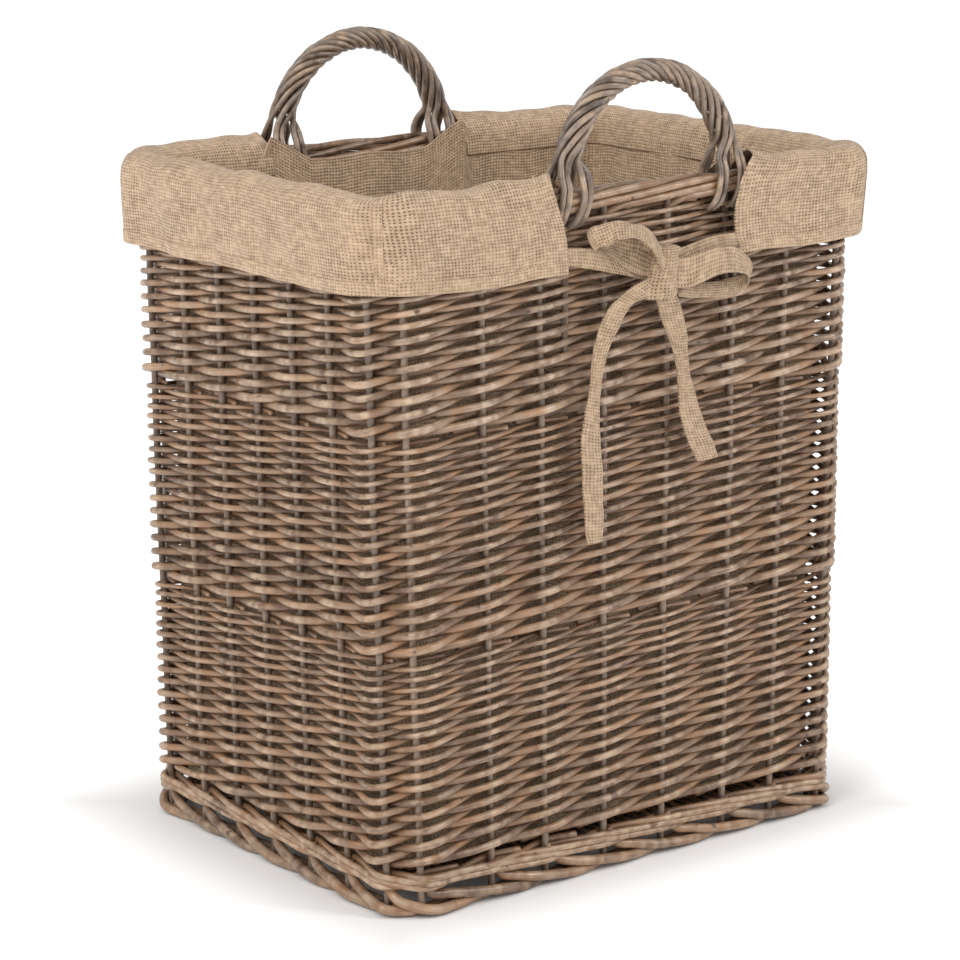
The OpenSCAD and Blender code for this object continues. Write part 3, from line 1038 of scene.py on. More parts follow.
@dataclass
class RopedHandle:
    """An arched handle: rods roped round a core, their ends spread at each foot over the border.

    A foot slot is a strand's place along the side at the foot, and its face: 1 outside the
    border, -1 inside it. Each row of foot_route is how far back, out from the handle's middle
    and up from the rim a strand is on its way down.
    """

    node: str
    name: str
    seed: int
    turned: bool
    strands: int = 8
    crest_lay: float = 33.0
    foot_lay: float = 15.0
    strand_d: float = 4.3
    arch_start: float = 14.0
    size_range: tuple[float, float] = (0.88, 1.08)
    foot_left: tuple[FootSlot, ...] = (
        (-8.5, 1), (-4.0, 1), (8.5, 1), (13.0, 1), (-8.5, -1), (-3.5, -1), (7.5, -1), (13.5, -1),
    )
    foot_right: tuple[FootSlot, ...] = (
        (-8.0, 1), (-12.5, 1), (8.0, 1), (4.0, 1), (-7.5, -1), (-12.5, -1), (7.5, -1), (3.0, -1),
    )
    foot_route: tuple[tuple[float, float, float], ...] = (
        (0.0, 6.6, 9.0), (0.0, 9.8, 1.2), (1.2, 10.6, -6.0), (3.0, 10.6, -13.5), (5.2, 9.2, -19.5),
        (7.0, 4.5, -23.5),
    )

    def assign(self, turn: np.ndarray, slots: Sequence[FootSlot], outward: float) -> list[FootSlot]:
        """Gives each strand the foot slot nearest to where it leaves the helix.

        Args:
            turn: Where round the helix each strand leaves it.
            slots: Places at the foot, along the side, each on its outer (1) or inner (-1) face.
            outward: 1 where the strands are counted outwards, -1 where inwards.

        Returns:
            One slot for each strand.
        """
        order = sorted(range(self.strands), key=lambda n: -math.sin(turn[n]))
        half = self.strands // 2
        given: dict[int, FootSlot] = {}
        for members, face in ((order[:half], 1), (order[half:], -1)):
            members = sorted(members, key=lambda n: outward * math.cos(turn[n]))
            own = sorted((s for s in slots if s[1] == face), key=lambda s: s[0])
            given |= dict(zip(members, own))
        return [given[n] for n in range(self.strands)]

    def build(self, ring: StakeRing, bundle: RodBundle) -> bpy.types.Object:
        """Ropes the handle.

        Args:
            ring: The stakes, for the height of the rim.
            bundle: An empty bundle to fill.

        Returns:
            The handle.
        """
        low, high = node_box(self.node)
        rope_d = high[1] - low[1]
        arch_r = (high[0] - low[0] - rope_d) / 2
        sign = -1.0 if self.turned else 1.0
        centre_x = sign * (low[0] + high[0]) / 2
        side_y = sign * (low[1] + high[1]) / 2
        centre_z = high[2] - rope_d / 2 - arch_r
        rng = np.random.default_rng(self.seed)
        helix_r = (rope_d - self.strand_d) / 2
        stop = math.radians(self.arch_start)
        angles = np.linspace(math.pi - stop, stop, 60)
        openness = np.abs(np.cos(angles)) ** 2.2
        lay = np.radians(self.crest_lay + (self.foot_lay - self.crest_lay) * openness)
        step = arch_r * abs(angles[1] - angles[0])
        twist = np.concatenate([[0], np.cumsum(np.tan(lay[1:]) * step / helix_r)])
        spread = helix_r * (1 + 0.25 * openness)
        starts = 2 * np.pi * np.arange(self.strands) / self.strands + 0.4
        left = self.assign(starts + twist[0], self.foot_left, -1.0)
        right = self.assign(starts + twist[-1], self.foot_right, 1.0)

        def foot(leg_x: float, slot: FootSlot, wobble: np.ndarray) -> np.ndarray:
            """A strand's way from the helix over the border and down into the weave.

            Args:
                leg_x: The middle of its leg, along the side.
                slot: Its foot slot.
                wobble: How far each point stands off its place.

            Returns:
                The points, from the helix down.
            """
            x, face = leg_x + slot[0], slot[1]
            rows = [(x - aside, side_y - face * out, ring.rim + up) for aside, out, up in self.foot_route]
            rows[0] = (x * 0.985 + leg_x * 0.015, *rows[0][1:])
            return np.array(rows) + wobble

        for n in range(self.strands):
            turn = starts[n] + twist
            out = spread * np.cos(turn) + Ripple(self.seed + n, 1.1)(angles) * 0.25
            across = spread * np.sin(turn)
            arch = np.column_stack([
                centre_x + (arch_r + out) * np.cos(angles),
                side_y - across,
                centre_z + (arch_r + out) * np.sin(angles),
            ])
            wobble = rng.uniform(-0.5, 0.5, (len(self.foot_route), 3)) * (1, 0.4, 1)
            feet = foot(centre_x - arch_r, left[n], wobble)[::-1], foot(centre_x + arch_r, right[n], wobble)
            anchors = np.vstack([feet[0], arch[::3], feet[1]])
            rows = smooth_run(anchors, 6)
            rows = half_turn(rows) if self.turned else rows
            share = np.linspace(0, 1, len(rows))
            taper = self.strand_d * rng.uniform(*self.size_range) * (1.05 - 0.16 * share)
            # Crown comes and goes at random along each strand, for the paler colour, part rubbing and part
            # painted highlight.
            crown = 0.5 + 0.5 * Ripple(self.seed * 3 + n, 0.25)(share)
            bundle.add(rows, taper, rng.uniform(), crown.clip(0, 1))
        return bundle.build(self.name)


@dataclass
class WovenBase:
    """The floor of the basket: weavers worked over and under the base sticks."""

    node: str = "base_weave"
    stick_nodes: tuple[str, ...] = ("base_edge_sticks", "base_sticks")
    name: str = "base_weavers"
    rod_d: float = 4.4
    pressed: float = 0.62
    spacing: float = 1.04
    corner_cut: float = 14.0
    size_range: tuple[float, float] = (0.92, 1.04)
    seed: int = 11

    def build(self, bundle: RodBundle) -> bpy.types.Object:
        """Weaves the floor.

        Args:
            bundle: An empty bundle to fill.

        Returns:
            The floor's weavers.
        """
        low, high = node_box(self.node)
        sticks = self.stick_lines()
        middle = (low[2] + high[2]) / 2
        lift = (high[2] - low[2]) / 2 - self.rod_d * self.pressed / 2
        rng = np.random.default_rng(self.seed)
        room = high[0] - low[0] - 2 * self.rod_d
        count = int(room / (self.rod_d * self.spacing))
        for n in range(count + 1):
            x = low[0] + self.rod_d + room * n / count
            inset = max(0.0, abs(x) - (high[0] - self.corner_cut))
            ends = (low[1] + 1.0 + inset, high[1] - 1.0 - inset)
            sign = 1.0 if n % 2 else -1.0
            rows = [(x, ends[0], middle)]
            rows += [(x, y, middle + sign * lift * (-1) ** k) for k, y in enumerate(sticks)]
            rows += [(x, ends[1], middle)]
            run = smooth_run(rows, 5)
            run[:, 0] += Ripple(self.seed + n, 120.0)(run[:, 1]) * 0.3
            width = self.rod_d * rng.uniform(*self.size_range)
            bundle.add(run, width, rng.uniform(), flat=self.pressed)
        return bundle.build(self.name)

    def stick_lines(self) -> list[float]:
        """Where each base stick lies across the basket, read from the CAD nodes."""
        lines: list[float] = []
        for node in self.stick_nodes:
            for y in np.sort(node_points(node)[:, 1]):
                if not lines or abs(y - lines[-1]) > 12.0:
                    lines.append(float(y))
        radius = (node_box("base_sticks")[1][2] - node_box("base_sticks")[0][2]) / 2
        return sorted(y + radius for y in sorted(lines))


@dataclass
class Willowwork(Work):
    """Everything of the basket that is willow, in the order in which it is worked."""

    body: str = "basket"
    stake_wobble: float = 0.35
    # The stakes carry the paler crown colour, part rubbing and part painted highlight, evenly along their
    # length.
    stake_crown: float = 0.35
    stake_bends: tuple[tuple[int, float], ...] = ((0, 170.0), (50, 150.0))
    stake_sides: int = 12
    stake_rings: int = 24

    def stake_diameter(self) -> float:
        """The stakes' diameter, from the CAD."""
        low, high = node_box("left_stakes")
        lean = abs(self.ring.heads[-3][0] - self.ring.feet[-3][0])
        return float(high[0] - low[0] - lean)

    def stakes(self, node: str) -> bpy.types.Object:
        """Models one side's stakes: round bars, cut into lengths and bent a little off true.

        Args:
            node: The CAD node that holds them.

        Returns:
            The stakes as one piece.
        """
        diameter = self.stake_diameter()
        parts = []
        for n, (foot, head) in enumerate(StakeRing.read(node)):
            span = Vector((head - foot) * MM)
            bpy.ops.object.select_all(action="DESELECT")
            bpy.ops.mesh.primitive_cylinder_add(
                vertices=self.stake_sides,
                radius=diameter / 2 * MM,
                depth=span.length,
                location=Vector((foot + head) / 2 * MM),
                rotation=span.to_track_quat("Z", "Y").to_euler(),
            )
            bar = bpy.context.active_object
            bpy.ops.object.transform_apply(location=True, rotation=True, scale=True)
            bpy.ops.object.mode_set(mode="EDIT")
            bpy.ops.mesh.select_all(action="SELECT")
            for step in range(1, self.stake_rings):
                at = Vector(foot * MM) + span * step / self.stake_rings
                bpy.ops.mesh.select_all(action="SELECT")
                bpy.ops.mesh.bisect(plane_co=at, plane_no=span)
            bpy.ops.object.mode_set(mode="OBJECT")
            self.finish_stake(bar, foot, span, n + 10 * len(node))
            parts.append(bar)
        piece = join_pieces(parts, node.replace("stakes", "uprights"))
        soften(piece)
        return piece

    def finish_stake(self, bar: bpy.types.Object, foot: np.ndarray, span: Vector, seed: int) -> None:
        """Bends one stake off true and maps its bark.

        Args:
            bar: The stake's object.
            foot: The middle of its foot.
            span: From its foot to its head, in metres.
            seed: Picks its own bends and shade.
        """
        mesh = bar.data
        points = np.array([v.co for v in mesh.vertices]) / MM
        along = (points - foot) @ np.array(span.normalized())
        bends = [Ripple(seed + shift, span) for shift, span in self.stake_bends]
        fade = np.sin(np.pi * (along / (span.length / MM)).clip(0, 1)) ** 0.5
        for axis, bend in enumerate(bends):
            points[:, axis] += bend(along) * self.stake_wobble * fade
        mesh.vertices.foreach_set("co", (points * MM).astype(np.float32).ravel())
        store(mesh, "tint", np.full(len(points), np.random.default_rng(seed).uniform()))
        store(mesh, "crown", np.full(len(points), self.stake_crown))
        mesh.uv_layers[0].name = "run"
        layer = mesh.uv_layers[0].data
        for loop in mesh.loops:
            v = points[loop.vertex_index] - foot
            angle = math.atan2(v[1], v[0]) / (2 * math.pi)
            layer[loop.index].uv = (along[loop.vertex_index] * MM, angle)

    def build(self) -> None:
        """Works the whole basket."""
        stake_d = self.stake_diameter()
        for node in StakeRing.STAKE_NODES:
            self.dress(self.stakes(node), Finish.STAKES, "stakes", node)
        self.dress(WovenBase().build(RodBundle(sides=8)), Finish.BASE, "willow", "base_weave")
        for node in WovenBase.stick_nodes:
            self.refinish(node, Finish.STICKS)
        foot = LaidBorder(
            "foot_border_rods", 21, 6.7, node_box("foot_border")[0][2],
            (
                (0.06, 0.4, 25.0, 0.84), (0.15, 2.0, 15.0, 0.94), (0.40, 4.6, 11.4, 1.0),
                (0.75, 6.5, 8.2, 1.0), (1.12, 7.0, 5.3, 1.0), (1.48, 5.6, 3.8, 0.97),
                (1.80, 2.0, 3.5, 0.93), (2.10, -2.8, 3.5, 0.88), (2.45, -5.6, 3.7, 0.84),
                (2.80, -5.8, 4.6, 0.8),
            ),
        )
        self.dress(foot.build(self.ring, RodBundle(sides=10)), Finish.WEAVERS, "willow", "foot_border")
        waling = WaledBand().build(self.ring, RodBundle(sides=8), stake_d)
        self.dress(waling, Finish.WEAVERS, "willow", "upsett_wale")
        for band, finish in (
            (RandedBand("lower_weave", "lower_randing", 1), Finish.WEAVERS),
            (RandedBand("middle_weave", "middle_randing", 2), Finish.WEAVERS),
            (RandedBand("upper_weave", "upper_randing", 3, strokes=30), Finish.TIPS),
        ):
            piece = band.build(self.ring, RodBundle(sides=8), stake_d)
            self.dress(piece, finish, "willow", band.node)
        border = LaidBorder(
            "top_border_rods", 22, 5.1, self.ring.rim,
            (
                (0.0, 0.0, -34.0, 0.98), (0.02, 0.6, -20.0, 1.0), (0.16, 3.0, -15.2, 1.0),
                (0.5, 5.6, -13.0, 1.0), (1.4, 5.8, -8.4, 0.98), (2.4, 5.7, -3.6, 0.95),
                (2.8, 3.8, -2.6, 0.93), (3.1, 0.0, -2.3, 0.92), (3.45, -4.6, -3.0, 0.9),
                (4.3, -5.8, -7.8, 0.86), (5.3, -5.8, -12.6, 0.8), (5.7, -4.0, -15.6, 0.76),
            ),
        )
        self.dress(border.build(self.ring, RodBundle(sides=10)), Finish.WEAVERS, "willow", "top_border")
        for side, turned, seed in (("front", False, 31), ("back", True, 41)):
            handle = RopedHandle(f"{side}_handle_rope", f"{side}_roped_handle", seed, turned)
            rope = handle.build(self.ring, RodBundle(sides=10))
            nodes = (f"{side}_handle_rope", f"{side}_handle_lashings")
            self.dress(rope, Finish.HANDLE, "handle_willow", *nodes)
            self.refinish(f"{side}_handle_core", Finish.CORE)

    def refinish(self, node: str, finish: Finish) -> None:
        """Gives a CAD node that stays in view its finish.

        Args:
            node: The CAD node's name.
            finish: Its finish.
        """
        self.paint(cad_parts[node].data, finish)
        LOG.info("%s keeps its CAD shape", node)


# ---------------------------------------------------------------- lining


@dataclass
class Ribbon:
    """One length of folded ribbon, given by its two long edges.

    Each station is x, y, z of one edge and then x, y, z of the other.
    """

    title: str
    node: str
    held: str
    rests_on: str
    stations: tuple[tuple[float, ...], ...]
    bulge: float = 1.2
    across: int = 7

    def points(self, seed: int) -> np.ndarray:
        """The ribbon's points, a row for each step along it.

        Args:
            seed: Picks its small waves.

        Returns:
            The points.
        """
        rows = smooth_run(self.stations, 5)
        s = np.linspace(0, 1, self.across)[None, :, None]
        grid = rows[:, None, :3] * (1 - s) + rows[:, None, 3:] * s
        normal = np.cross(np.gradient(grid, axis=0), np.gradient(grid, axis=1))
        normal /= np.linalg.norm(normal, axis=2)[..., None].clip(1e-9)
        length = distances(rows[:, :3])
        wave = Ripple(seed, 34.0)(length)[:, None] * 0.5
        wave = wave + Ripple(seed + 1, 19.0)(length)[:, None] * (s[..., 0] - 0.5)
        share = 4 * s[..., 0] * (1 - s[..., 0])
        return grid + normal * (self.bulge * share * (1 + 0.5 * wave) + 0.5 * wave)[..., None]


@dataclass
class Lining(Work):
    """The hessian lining: a bag with a cuff folded down over the rim, open at the two handles.

    The cuff's section runs from inside the rim, over it and down to the hem. Each row of profile
    is: distance out from the stake line, height above the rim, and how far along their sides the
    cuff's two edges stand, on the front and on the back.
    """

    body: str = "liner"
    cloth_t: float = 1.3
    hem_t: float = 1.5
    hem_h: float = 9.0
    grid: float = 3.6
    rounding: float = 7.0
    clear: float = 13.9
    peaks: tuple[float, float] = (-68.0, 99.0)
    peak_rise: float = 19.0
    peak_slope: tuple[float, float] = (34.0, 9.0)
    cuff_ends: tuple[float, float] = (84.0, 71.0)
    end_fade: tuple[float, float] = (18.0, 16.0)
    end_lift: tuple[float, float] = (7.0, 6.0)
    fold_spans: tuple[float, ...] = (88.0, 44.0, 60.0, 140.0)
    seam_half: float = 1.9
    wall_rows: int = 90
    ribbon_t: float = 1.7
    profile: tuple[tuple[float, float, float, float], ...] = (
        (-15.0, -18.0, 97.0, 71.0), (-13.8, -8.0, 97.0, 71.0), (-11.0, -0.5, 97.0, 71.0),
        (-6.0, 4.6, 96.5, 71.0), (0.2, 7.2, 96.0, 71.5), (7.0, 7.6, 95.5, 73.5), (12.8, 5.2, 94.0, 76.5),
        (16.4, 0.2, 86.5, 77.0), (17.6, -7.0, 79.5, 74.5), (17.4, -17.0, 76.0, 70.4),
        (16.8, -29.0, 75.0, 67.4), (16.2, -40.0, 77.0, 65.8), (15.8, -48.0, 79.6, 65.4),
        (15.6, -53.5, 80.8, 65.2),
    )
    ribbons: tuple[Ribbon, ...] = (
        Ribbon(
            "ribbon_left", "tie_left", "stretched", "left_cuff",
            (
                (-77, -154.4, 426.5, -76, -154.6, 414.3), (-67.3, -155.2, 425.3, -66.6, -155.6, 413.1),
                (-51.5, -156.6, 423.6, -49.8, -157, 410.1), (-36.8, -157.2, 421.2, -33.9, -158.5, 406.3),
                (-22.5, -158.5, 413.1, -18.3, -160.5, 402.5), (-8.7, -160.5, 409.2, -10.3, -162.5, 400),
                (12.1, -163.5, 407.5, 11.4, -164.5, 395.7),
            ), 0.8,
        ),
        Ribbon(
            "ribbon_right", "tie_right", "stretched", "right_cuff",
            (
                (85.8, -154.6, 421.1, 86.8, -154.8, 410.8), (73.2, -155.4, 421, 75.5, -156, 412),
                (53.1, -157.2, 420.6, 56.5, -158, 411.4), (35.2, -159.4, 418, 39.9, -161, 409),
                (22.5, -161.5, 416.2, 23.8, -163.5, 405.6), (10, -163.5, 414, 9.5, -165, 403),
            ), 0.8,
        ),
        Ribbon(
            "loop_left", "bow_loops", "folded", "ribbon_left",
            (
                (11.9, -168, 414.3, 4.8, -171, 402.9), (3, -167.6, 420.2, -4.9, -174, 408.9),
                (-2, -166.4, 427, -10.1, -176, 418.6), (-8.1, -164.5, 433.4, -19, -177, 426.8),
                (-18.6, -162.5, 437, -29, -176, 430), (-30.3, -160.5, 439.2, -37.3, -173, 429.4),
                (-41.4, -159, 438, -42.4, -168.5, 425.4), (-48.7, -158, 436.3, -46, -163.8, 423.8),
                (-50.4, -157.4, 433.2, -45.5, -160.8, 421.5), (-42.7, -157.2, 431.3, -37.3, -160, 418.4),
                (-31.4, -157.4, 429.6, -29.6, -160.4, 414.5), (-16.5, -158, 427, -21.6, -162, 408),
                (-4.2, -159.5, 423.5, -13.5, -164, 403.4), (5.4, -162, 415.4, -1.6, -167, 401),
            ), 1.0,
        ),
        Ribbon(
            "loop_right", "bow_loops", "folded", "ribbon_right",
            (
                (10.1, -169, 413.1, 6.8, -171, 394.3), (21, -170.6, 412.4, 19.9, -174, 392.5),
                (34.4, -171.5, 414.3, 29.1, -177.5, 395.4), (48.8, -171, 416, 40.4, -178.5, 398.8),
                (65, -168.4, 414.3, 54.4, -177, 399.3), (78.1, -164.4, 408.4, 67.6, -174, 397.2),
                (87.6, -160.4, 400, 78.3, -168.4, 392.6), (90.2, -158.4, 394.5, 83.4, -163, 386),
                (84.3, -157.2, 391.7, 77.3, -160.6, 381.2), (72.1, -157, 390.3, 68.2, -160.6, 379.6),
                (57.4, -157.6, 390.5, 53.1, -161.5, 380.8), (41.6, -159.5, 392.4, 35.8, -164, 382.9),
                (20.6, -163, 396.8, 17.2, -167, 386.2),
            ), 1.0,
        ),
        Ribbon(
            "tail_left", "bow_tails", "hung", "bow_knot",
            (
                (-5.6, -166, 401.2, 1.4, -167, 394.1), (-20.2, -165.5, 396.5, -8.7, -167.5, 388.4),
                (-28.4, -164, 391, -18.8, -167, 386.2), (-35.2, -162, 385, -23.2, -165.5, 381.5),
                (-39.8, -160, 376.8, -26.2, -163, 373.4), (-42.8, -158, 366.4, -30.7, -161, 364),
                (-45.6, -157.2, 353.2, -35.8, -160, 352.6), (-46.8, -157, 341.4, -38.8, -159.6, 339.5),
                (-48.6, -157.6, 329.7, -40, -159, 327.4), (-52.1, -158.6, 318.3, -39.6, -157.8, 315),
                (-55.6, -159.4, 306.2, -38.4, -157, 301.8), (-56.3, -159.4, 292.7, -37.4, -157.2, 288.8),
                (-54.4, -158.6, 276.3, -35.8, -157.6, 273.4), (-53, -158, 260.8, -35.7, -157.6, 258.1),
                (-51.5, -157.8, 245.3, -35.3, -157.4, 242.7), (-49.3, -157.6, 229.1, -35.9, -157.4, 228.9),
            ),
        ),
        Ribbon(
            "tail_right", "bow_tails", "hung", "bow_knot",
            (
                (-0.7, -165, 395, 16.5, -165.5, 394.1), (1.2, -164.5, 386.3, 19.6, -165.5, 385.9),
                (6.5, -162, 374.8, 25.1, -164, 374.5), (14.3, -159.6, 362.2, 30.4, -162, 362.2),
                (20.8, -158, 351.3, 33.1, -160.6, 350.3), (24.9, -157, 341.4, 34.2, -160, 340.7),
                (27.1, -157, 329, 37.4, -159, 328.8), (27, -158, 318.4, 43.5, -157.4, 316.2),
                (28.2, -159, 305.4, 48.9, -157, 303), (31.7, -159.4, 293.4, 54.5, -157, 291.4),
                (37.9, -159, 281.6, 60.6, -157.2, 280.9), (44.5, -158.4, 271.2, 64.6, -157.4, 271.6),
            ),
        ),
    )
    knot: tuple[tuple[float, float, float, float], ...] = (
        (389.0, 3.6, 8.0, 3.6), (387.4, 3.6, 11.0, 5.6), (388.8, 3.6, 12.4, 7.0), (393.0, 3.6, 12.2, 7.8),
        (399.0, 4.4, 10.6, 8.2), (404.7, 5.9, 9.6, 8.2), (410.5, 7.4, 9.0, 7.6), (415.5, 8.4, 8.0, 6.6),
        (419.6, 9.2, 6.4, 4.8), (420.0, 9.2, 3.6, 2.6),
    )
    knot_y: float = -165.6

    def __post_init__(self) -> None:
        """Works out how far round the rim each stake is, and the cuff's finer section."""
        spans = np.linalg.norm(np.roll(self.ring.heads, -1, axis=0) - self.ring.heads, axis=1)
        self.lap = np.concatenate([[0], np.cumsum(np.tile(spans, 2))])
        share = self.ring.normals[:, 1] ** 2 / (self.ring.normals[:, :2] ** 2).sum(1)
        self.long_share = np.append(np.tile(share, 2), share[0])
        self.floor_low, self.floor_high = node_box("liner_floor")
        rows = np.array(self.profile)
        self.rows = smooth_run(np.column_stack([rows[:, 0], rows[:, 1], 0 * rows[:, 0], rows[:, 2:]]), 5)

    def length_at(self, t: float) -> float:
        """Distance round the rim of a place counted in stakes."""
        return float(np.interp(t, np.arange(len(self.lap)), self.lap))

    def on_long_side(self, length: np.ndarray) -> np.ndarray:
        """1 beside a long side, 0 beside a short side, and between at the corners."""
        return np.interp(length, self.lap, self.long_share)

    def around(self, length: np.ndarray, z: np.ndarray, off: np.ndarray) -> np.ndarray:
        """Points beside the stake line, with the corners rounded as cloth rounds them.

        Args:
            length: Distances round the rim.
            z: Heights.
            off: Distances outwards.

        Returns:
            The points.
        """
        shifts = np.linspace(-self.rounding, self.rounding, 5)
        places = [np.interp(length + shift, self.lap, np.arange(len(self.lap))) for shift in shifts]
        return sum(self.ring.place(t, z, off) for t in places) / len(shifts)

    def cuff_points(self, length: np.ndarray, lift: float, seed: int, rows: np.ndarray) -> np.ndarray:
        """Points on the right cuff.

        Args:
            length: Distances round the rim, a row for each row of the section.
            lift: How far to stand off the cloth's middle.
            seed: Picks the folds.
            rows: Rows of the section.

        Returns:
            The points.
        """
        out, up = rows[:, :1], rows[:, 1:2]
        start = self.length_at(self.ring.at_x(self.cuff_ends[0], True))
        end = self.length_at(self.ring.at_x(self.cuff_ends[1], False))
        inside = np.clip((-4.0 - out) / 8.0, 0, 1)
        outside = np.clip((out - 8.0) / 8.0, 0, 1)
        down = np.clip((6.0 - up) / 70.0, 0, 1) * outside
        crest = np.exp(-(((out - 6.0) / 10.0) ** 2)) * np.clip((up + 14.0) / 14.0, 0, 1)
        broad, fine, roll, hem = (Ripple(seed + n, span) for n, span in enumerate(self.fold_spans))
        slant = length + 0.35 * up
        off = out + inside * (1 - self.on_long_side(length)) * 2.6
        off = off + outside * (broad(slant) * 1.1 + fine(slant) * (0.3 + 0.5 * down))
        off = off + crest * roll(length) * 0.9 - inside * (1.0 + broad(length + 40.0)) * 0.8
        z = up + crest * (roll(length + 30.0) * 1.0 + broad(length) * 0.6) + down * hem(length) * 1.2
        for corner in self.ring.CORNERS[:2]:
            gap = length - self.length_at(corner)
            off = off - outside * 1.2 * np.exp(-((gap / 3.0) ** 2))
            z = z - crest * 1.4 * np.exp(-((gap / 9.0) ** 2))
        near = np.exp(-(length - start).clip(0, None) / self.end_fade[0])
        far = np.exp(-(end - length).clip(0, None) / self.end_fade[1])
        at_crest = np.clip((up + 12.0) / 14.0, 0, 1) * np.clip((out + 4.0) / 10.0, 0, 1)
        z = z + (near * self.end_lift[0] + far * self.end_lift[1]) * at_crest
        off = off + (near + far) * np.clip((-10.0 - up) / 25.0, 0, 1) * 1.2
        off = np.where(outside > 0.9, np.maximum(off, self.clear), off)
        return self.around(length, self.ring.rim + z, off + lift)

    def cuff_grid(self, rows: np.ndarray, lift: float, seed: int, inset: float = 0.0) -> np.ndarray:
        """The right cuff's points, or those of a band along it.

        Args:
            rows: Rows of the section to cover.
            lift: How far to stand off the cloth's middle.
            seed: Picks the folds.
            inset: How far in from the cuff's free edges the band stops.

        Returns:
            The points.
        """
        starts = np.array([self.length_at(self.ring.at_x(x, True)) for x in rows[:, 3]]) + inset
        ends = np.array([self.length_at(self.ring.at_x(x, False)) for x in rows[:, 4]]) - inset
        share = np.linspace(0, 1, int((ends - starts).mean() / self.grid) + 1)
        edge, back = (share < 0.5) * (1 - share) ** 6, (share > 0.5) * share**6
        first, last = starts.min(), ends.max()
        line = first * (1 - share) + last * share
        lengths = line + (starts - first)[:, None] * edge + (ends - last)[:, None] * back
        return self.cuff_points(lengths, lift, seed, rows)

    def seam_grid(self, corner: float, seed: int) -> np.ndarray:
        """A narrow ridge up the outside of the right cuff at one corner.

        Args:
            corner: The corner's place, counted in stakes.
            seed: Picks the folds, as on the cuff.

        Returns:
            The points.
        """
        rows = self.rows[(self.rows[:, 0] > 13.0) & (self.rows[:, 1] > self.profile[-1][1] + 1.0)]
        across = np.linspace(-self.seam_half, self.seam_half, 5)
        length = self.length_at(corner) + across + 0 * rows[:, :1]
        return self.cuff_points(length, 0.9, seed, rows)

    def joined(self, grids: list[np.ndarray], name: str, thickness: float) -> bpy.types.Object:
        """Several grids of cloth made into one piece.

        Args:
            grids: The points of each part.
            name: The piece's name.
            thickness: The cloth's thickness.

        Returns:
            The piece.
        """
        parts = [ClothGrid(points).build(f"{name}_{n}", thickness, 0) for n, points in enumerate(grids)]
        return join_pieces(parts, name)

    def build_cuffs(self) -> None:
        """Makes both cuffs, their hems and the seams up their corners."""
        hem_rows = self.rows[self.rows[:, 1] < self.rows[-1, 1] + self.hem_h]
        seams = []
        for side, turned, seed in (("right", False, 61), ("left", True, 71)):
            grids = [self.cuff_grid(self.rows, 0.0, seed), self.cuff_grid(hem_rows, 0.6, seed, 0.3)]
            grids += [self.seam_grid(corner, seed) for corner in self.ring.CORNERS[:2]]
            grids = [half_turn(points) for points in grids] if turned else grids
            seams += grids[2:]
            cuff = ClothGrid(grids[0])
            hem = ClothGrid(grids[1]).build(f"{side}_hem", self.hem_t)
            self.dress(hem, Finish.HEM, "hessian", f"cuff_hem_{side}")
            piece = cuff.build(f"{side}_cuff", self.cloth_t)
            self.dress(piece, Finish.HESSIAN, "hessian", f"cuff_{side}")
            self.declare(piece, cuff.sizes(), "folded", "top_border_rods", hem)
        ridges = self.joined(seams, "cuff_seams", 1.3)
        self.dress(ridges, Finish.HEM, "hessian", "cuff_corner_seams")
        sizes = [ClothGrid(points).sizes() for points in seams]
        self.declare(ridges, (len(seams) * sizes[0][0], sizes[0][1]), "folded", "right_cuff")

    def declare(
        self, piece: bpy.types.Object, flat: tuple[float, float], held: str, on: str, *extra: bpy.types.Object
    ) -> None:
        """Logs the size a sheet was cut to.

        Args:
            piece: The sheet.
            flat: The two sides it was cut to, in metres.
            on: Not used.
            *extra: Not used.
        """
        LOG.info("%s was cut %.3f x %.3f m", piece.name, *flat)

    def wall(self, start: float, end: float, seed: int, cut: Optional[tuple[float, float]]) -> np.ndarray:
        """One wall of the bag.

        Args:
            start: Where it starts, in stakes.
            end: Where it ends, in stakes.
            seed: Picks its folds.
            cut: How far round its two peaks beside the handle legs are, in stakes, or None.

        Returns:
            Its points.
        """
        first, last = self.length_at(start), self.length_at(end)
        length = np.linspace(first, last, int((last - first) / self.grid))
        low, top = self.floor_high[2] + 0.2, np.full(len(length), self.ring.rim - 9.0)
        for peak, inward in zip(cut or (), (1.0, -1.0)):
            gap = (length - self.length_at(peak)) * inward
            gentle, steep = self.peak_slope
            slope = np.where(gap > 0, 1 - gap / gentle, 1 + gap / steep).clip(0, 1)
            top = top + self.peak_rise * slope**1.4 * (3 - slope) / 2
        top = top + Ripple(seed + 5, 60.0)(length) * 0.9
        z = low + (top - low) * np.linspace(0, 1, self.wall_rows)[:, None]
        height = ((z - low) / (self.ring.rim - low)).clip(0, 1)
        long_side = self.on_long_side(length)
        off = long_side * (-17.9 + 4.0 * height) + (1 - long_side) * (-8.9 - 2.6 * height)
        folds = Ripple(seed, 75.0)(length + 0.22 * z) * 1.2 + Ripple(seed + 1, 140.0)(z + 0.3 * length) * 0.9
        off = off - np.sin(np.pi * height) ** 0.6 * (1.6 + folds).clip(0, None)
        return self.around(length + 0 * z, z, off)

    def bag_floor(self) -> np.ndarray:
        """The floor of the bag, with its corners cut to the basket's."""
        long, wide = self.floor_high[0] - 0.8, self.floor_high[1] - 0.8
        x, y = np.meshgrid(np.linspace(-long, long, 91), np.linspace(-wide, wide, 65))
        over = (np.abs(x) + np.abs(y) - (long + wide - 16.0)).clip(0, None) / 2
        x, y = x - np.sign(x) * over, y - np.sign(y) * over
        swell = Ripple(91, 90.0)(x + 0.4 * y) + Ripple(92, 70.0)(y - 0.3 * x)
        return np.stack([x, y, self.floor_low[2] + 1.0 + 0.5 * (swell + 1.6).clip(0, None)], -1)

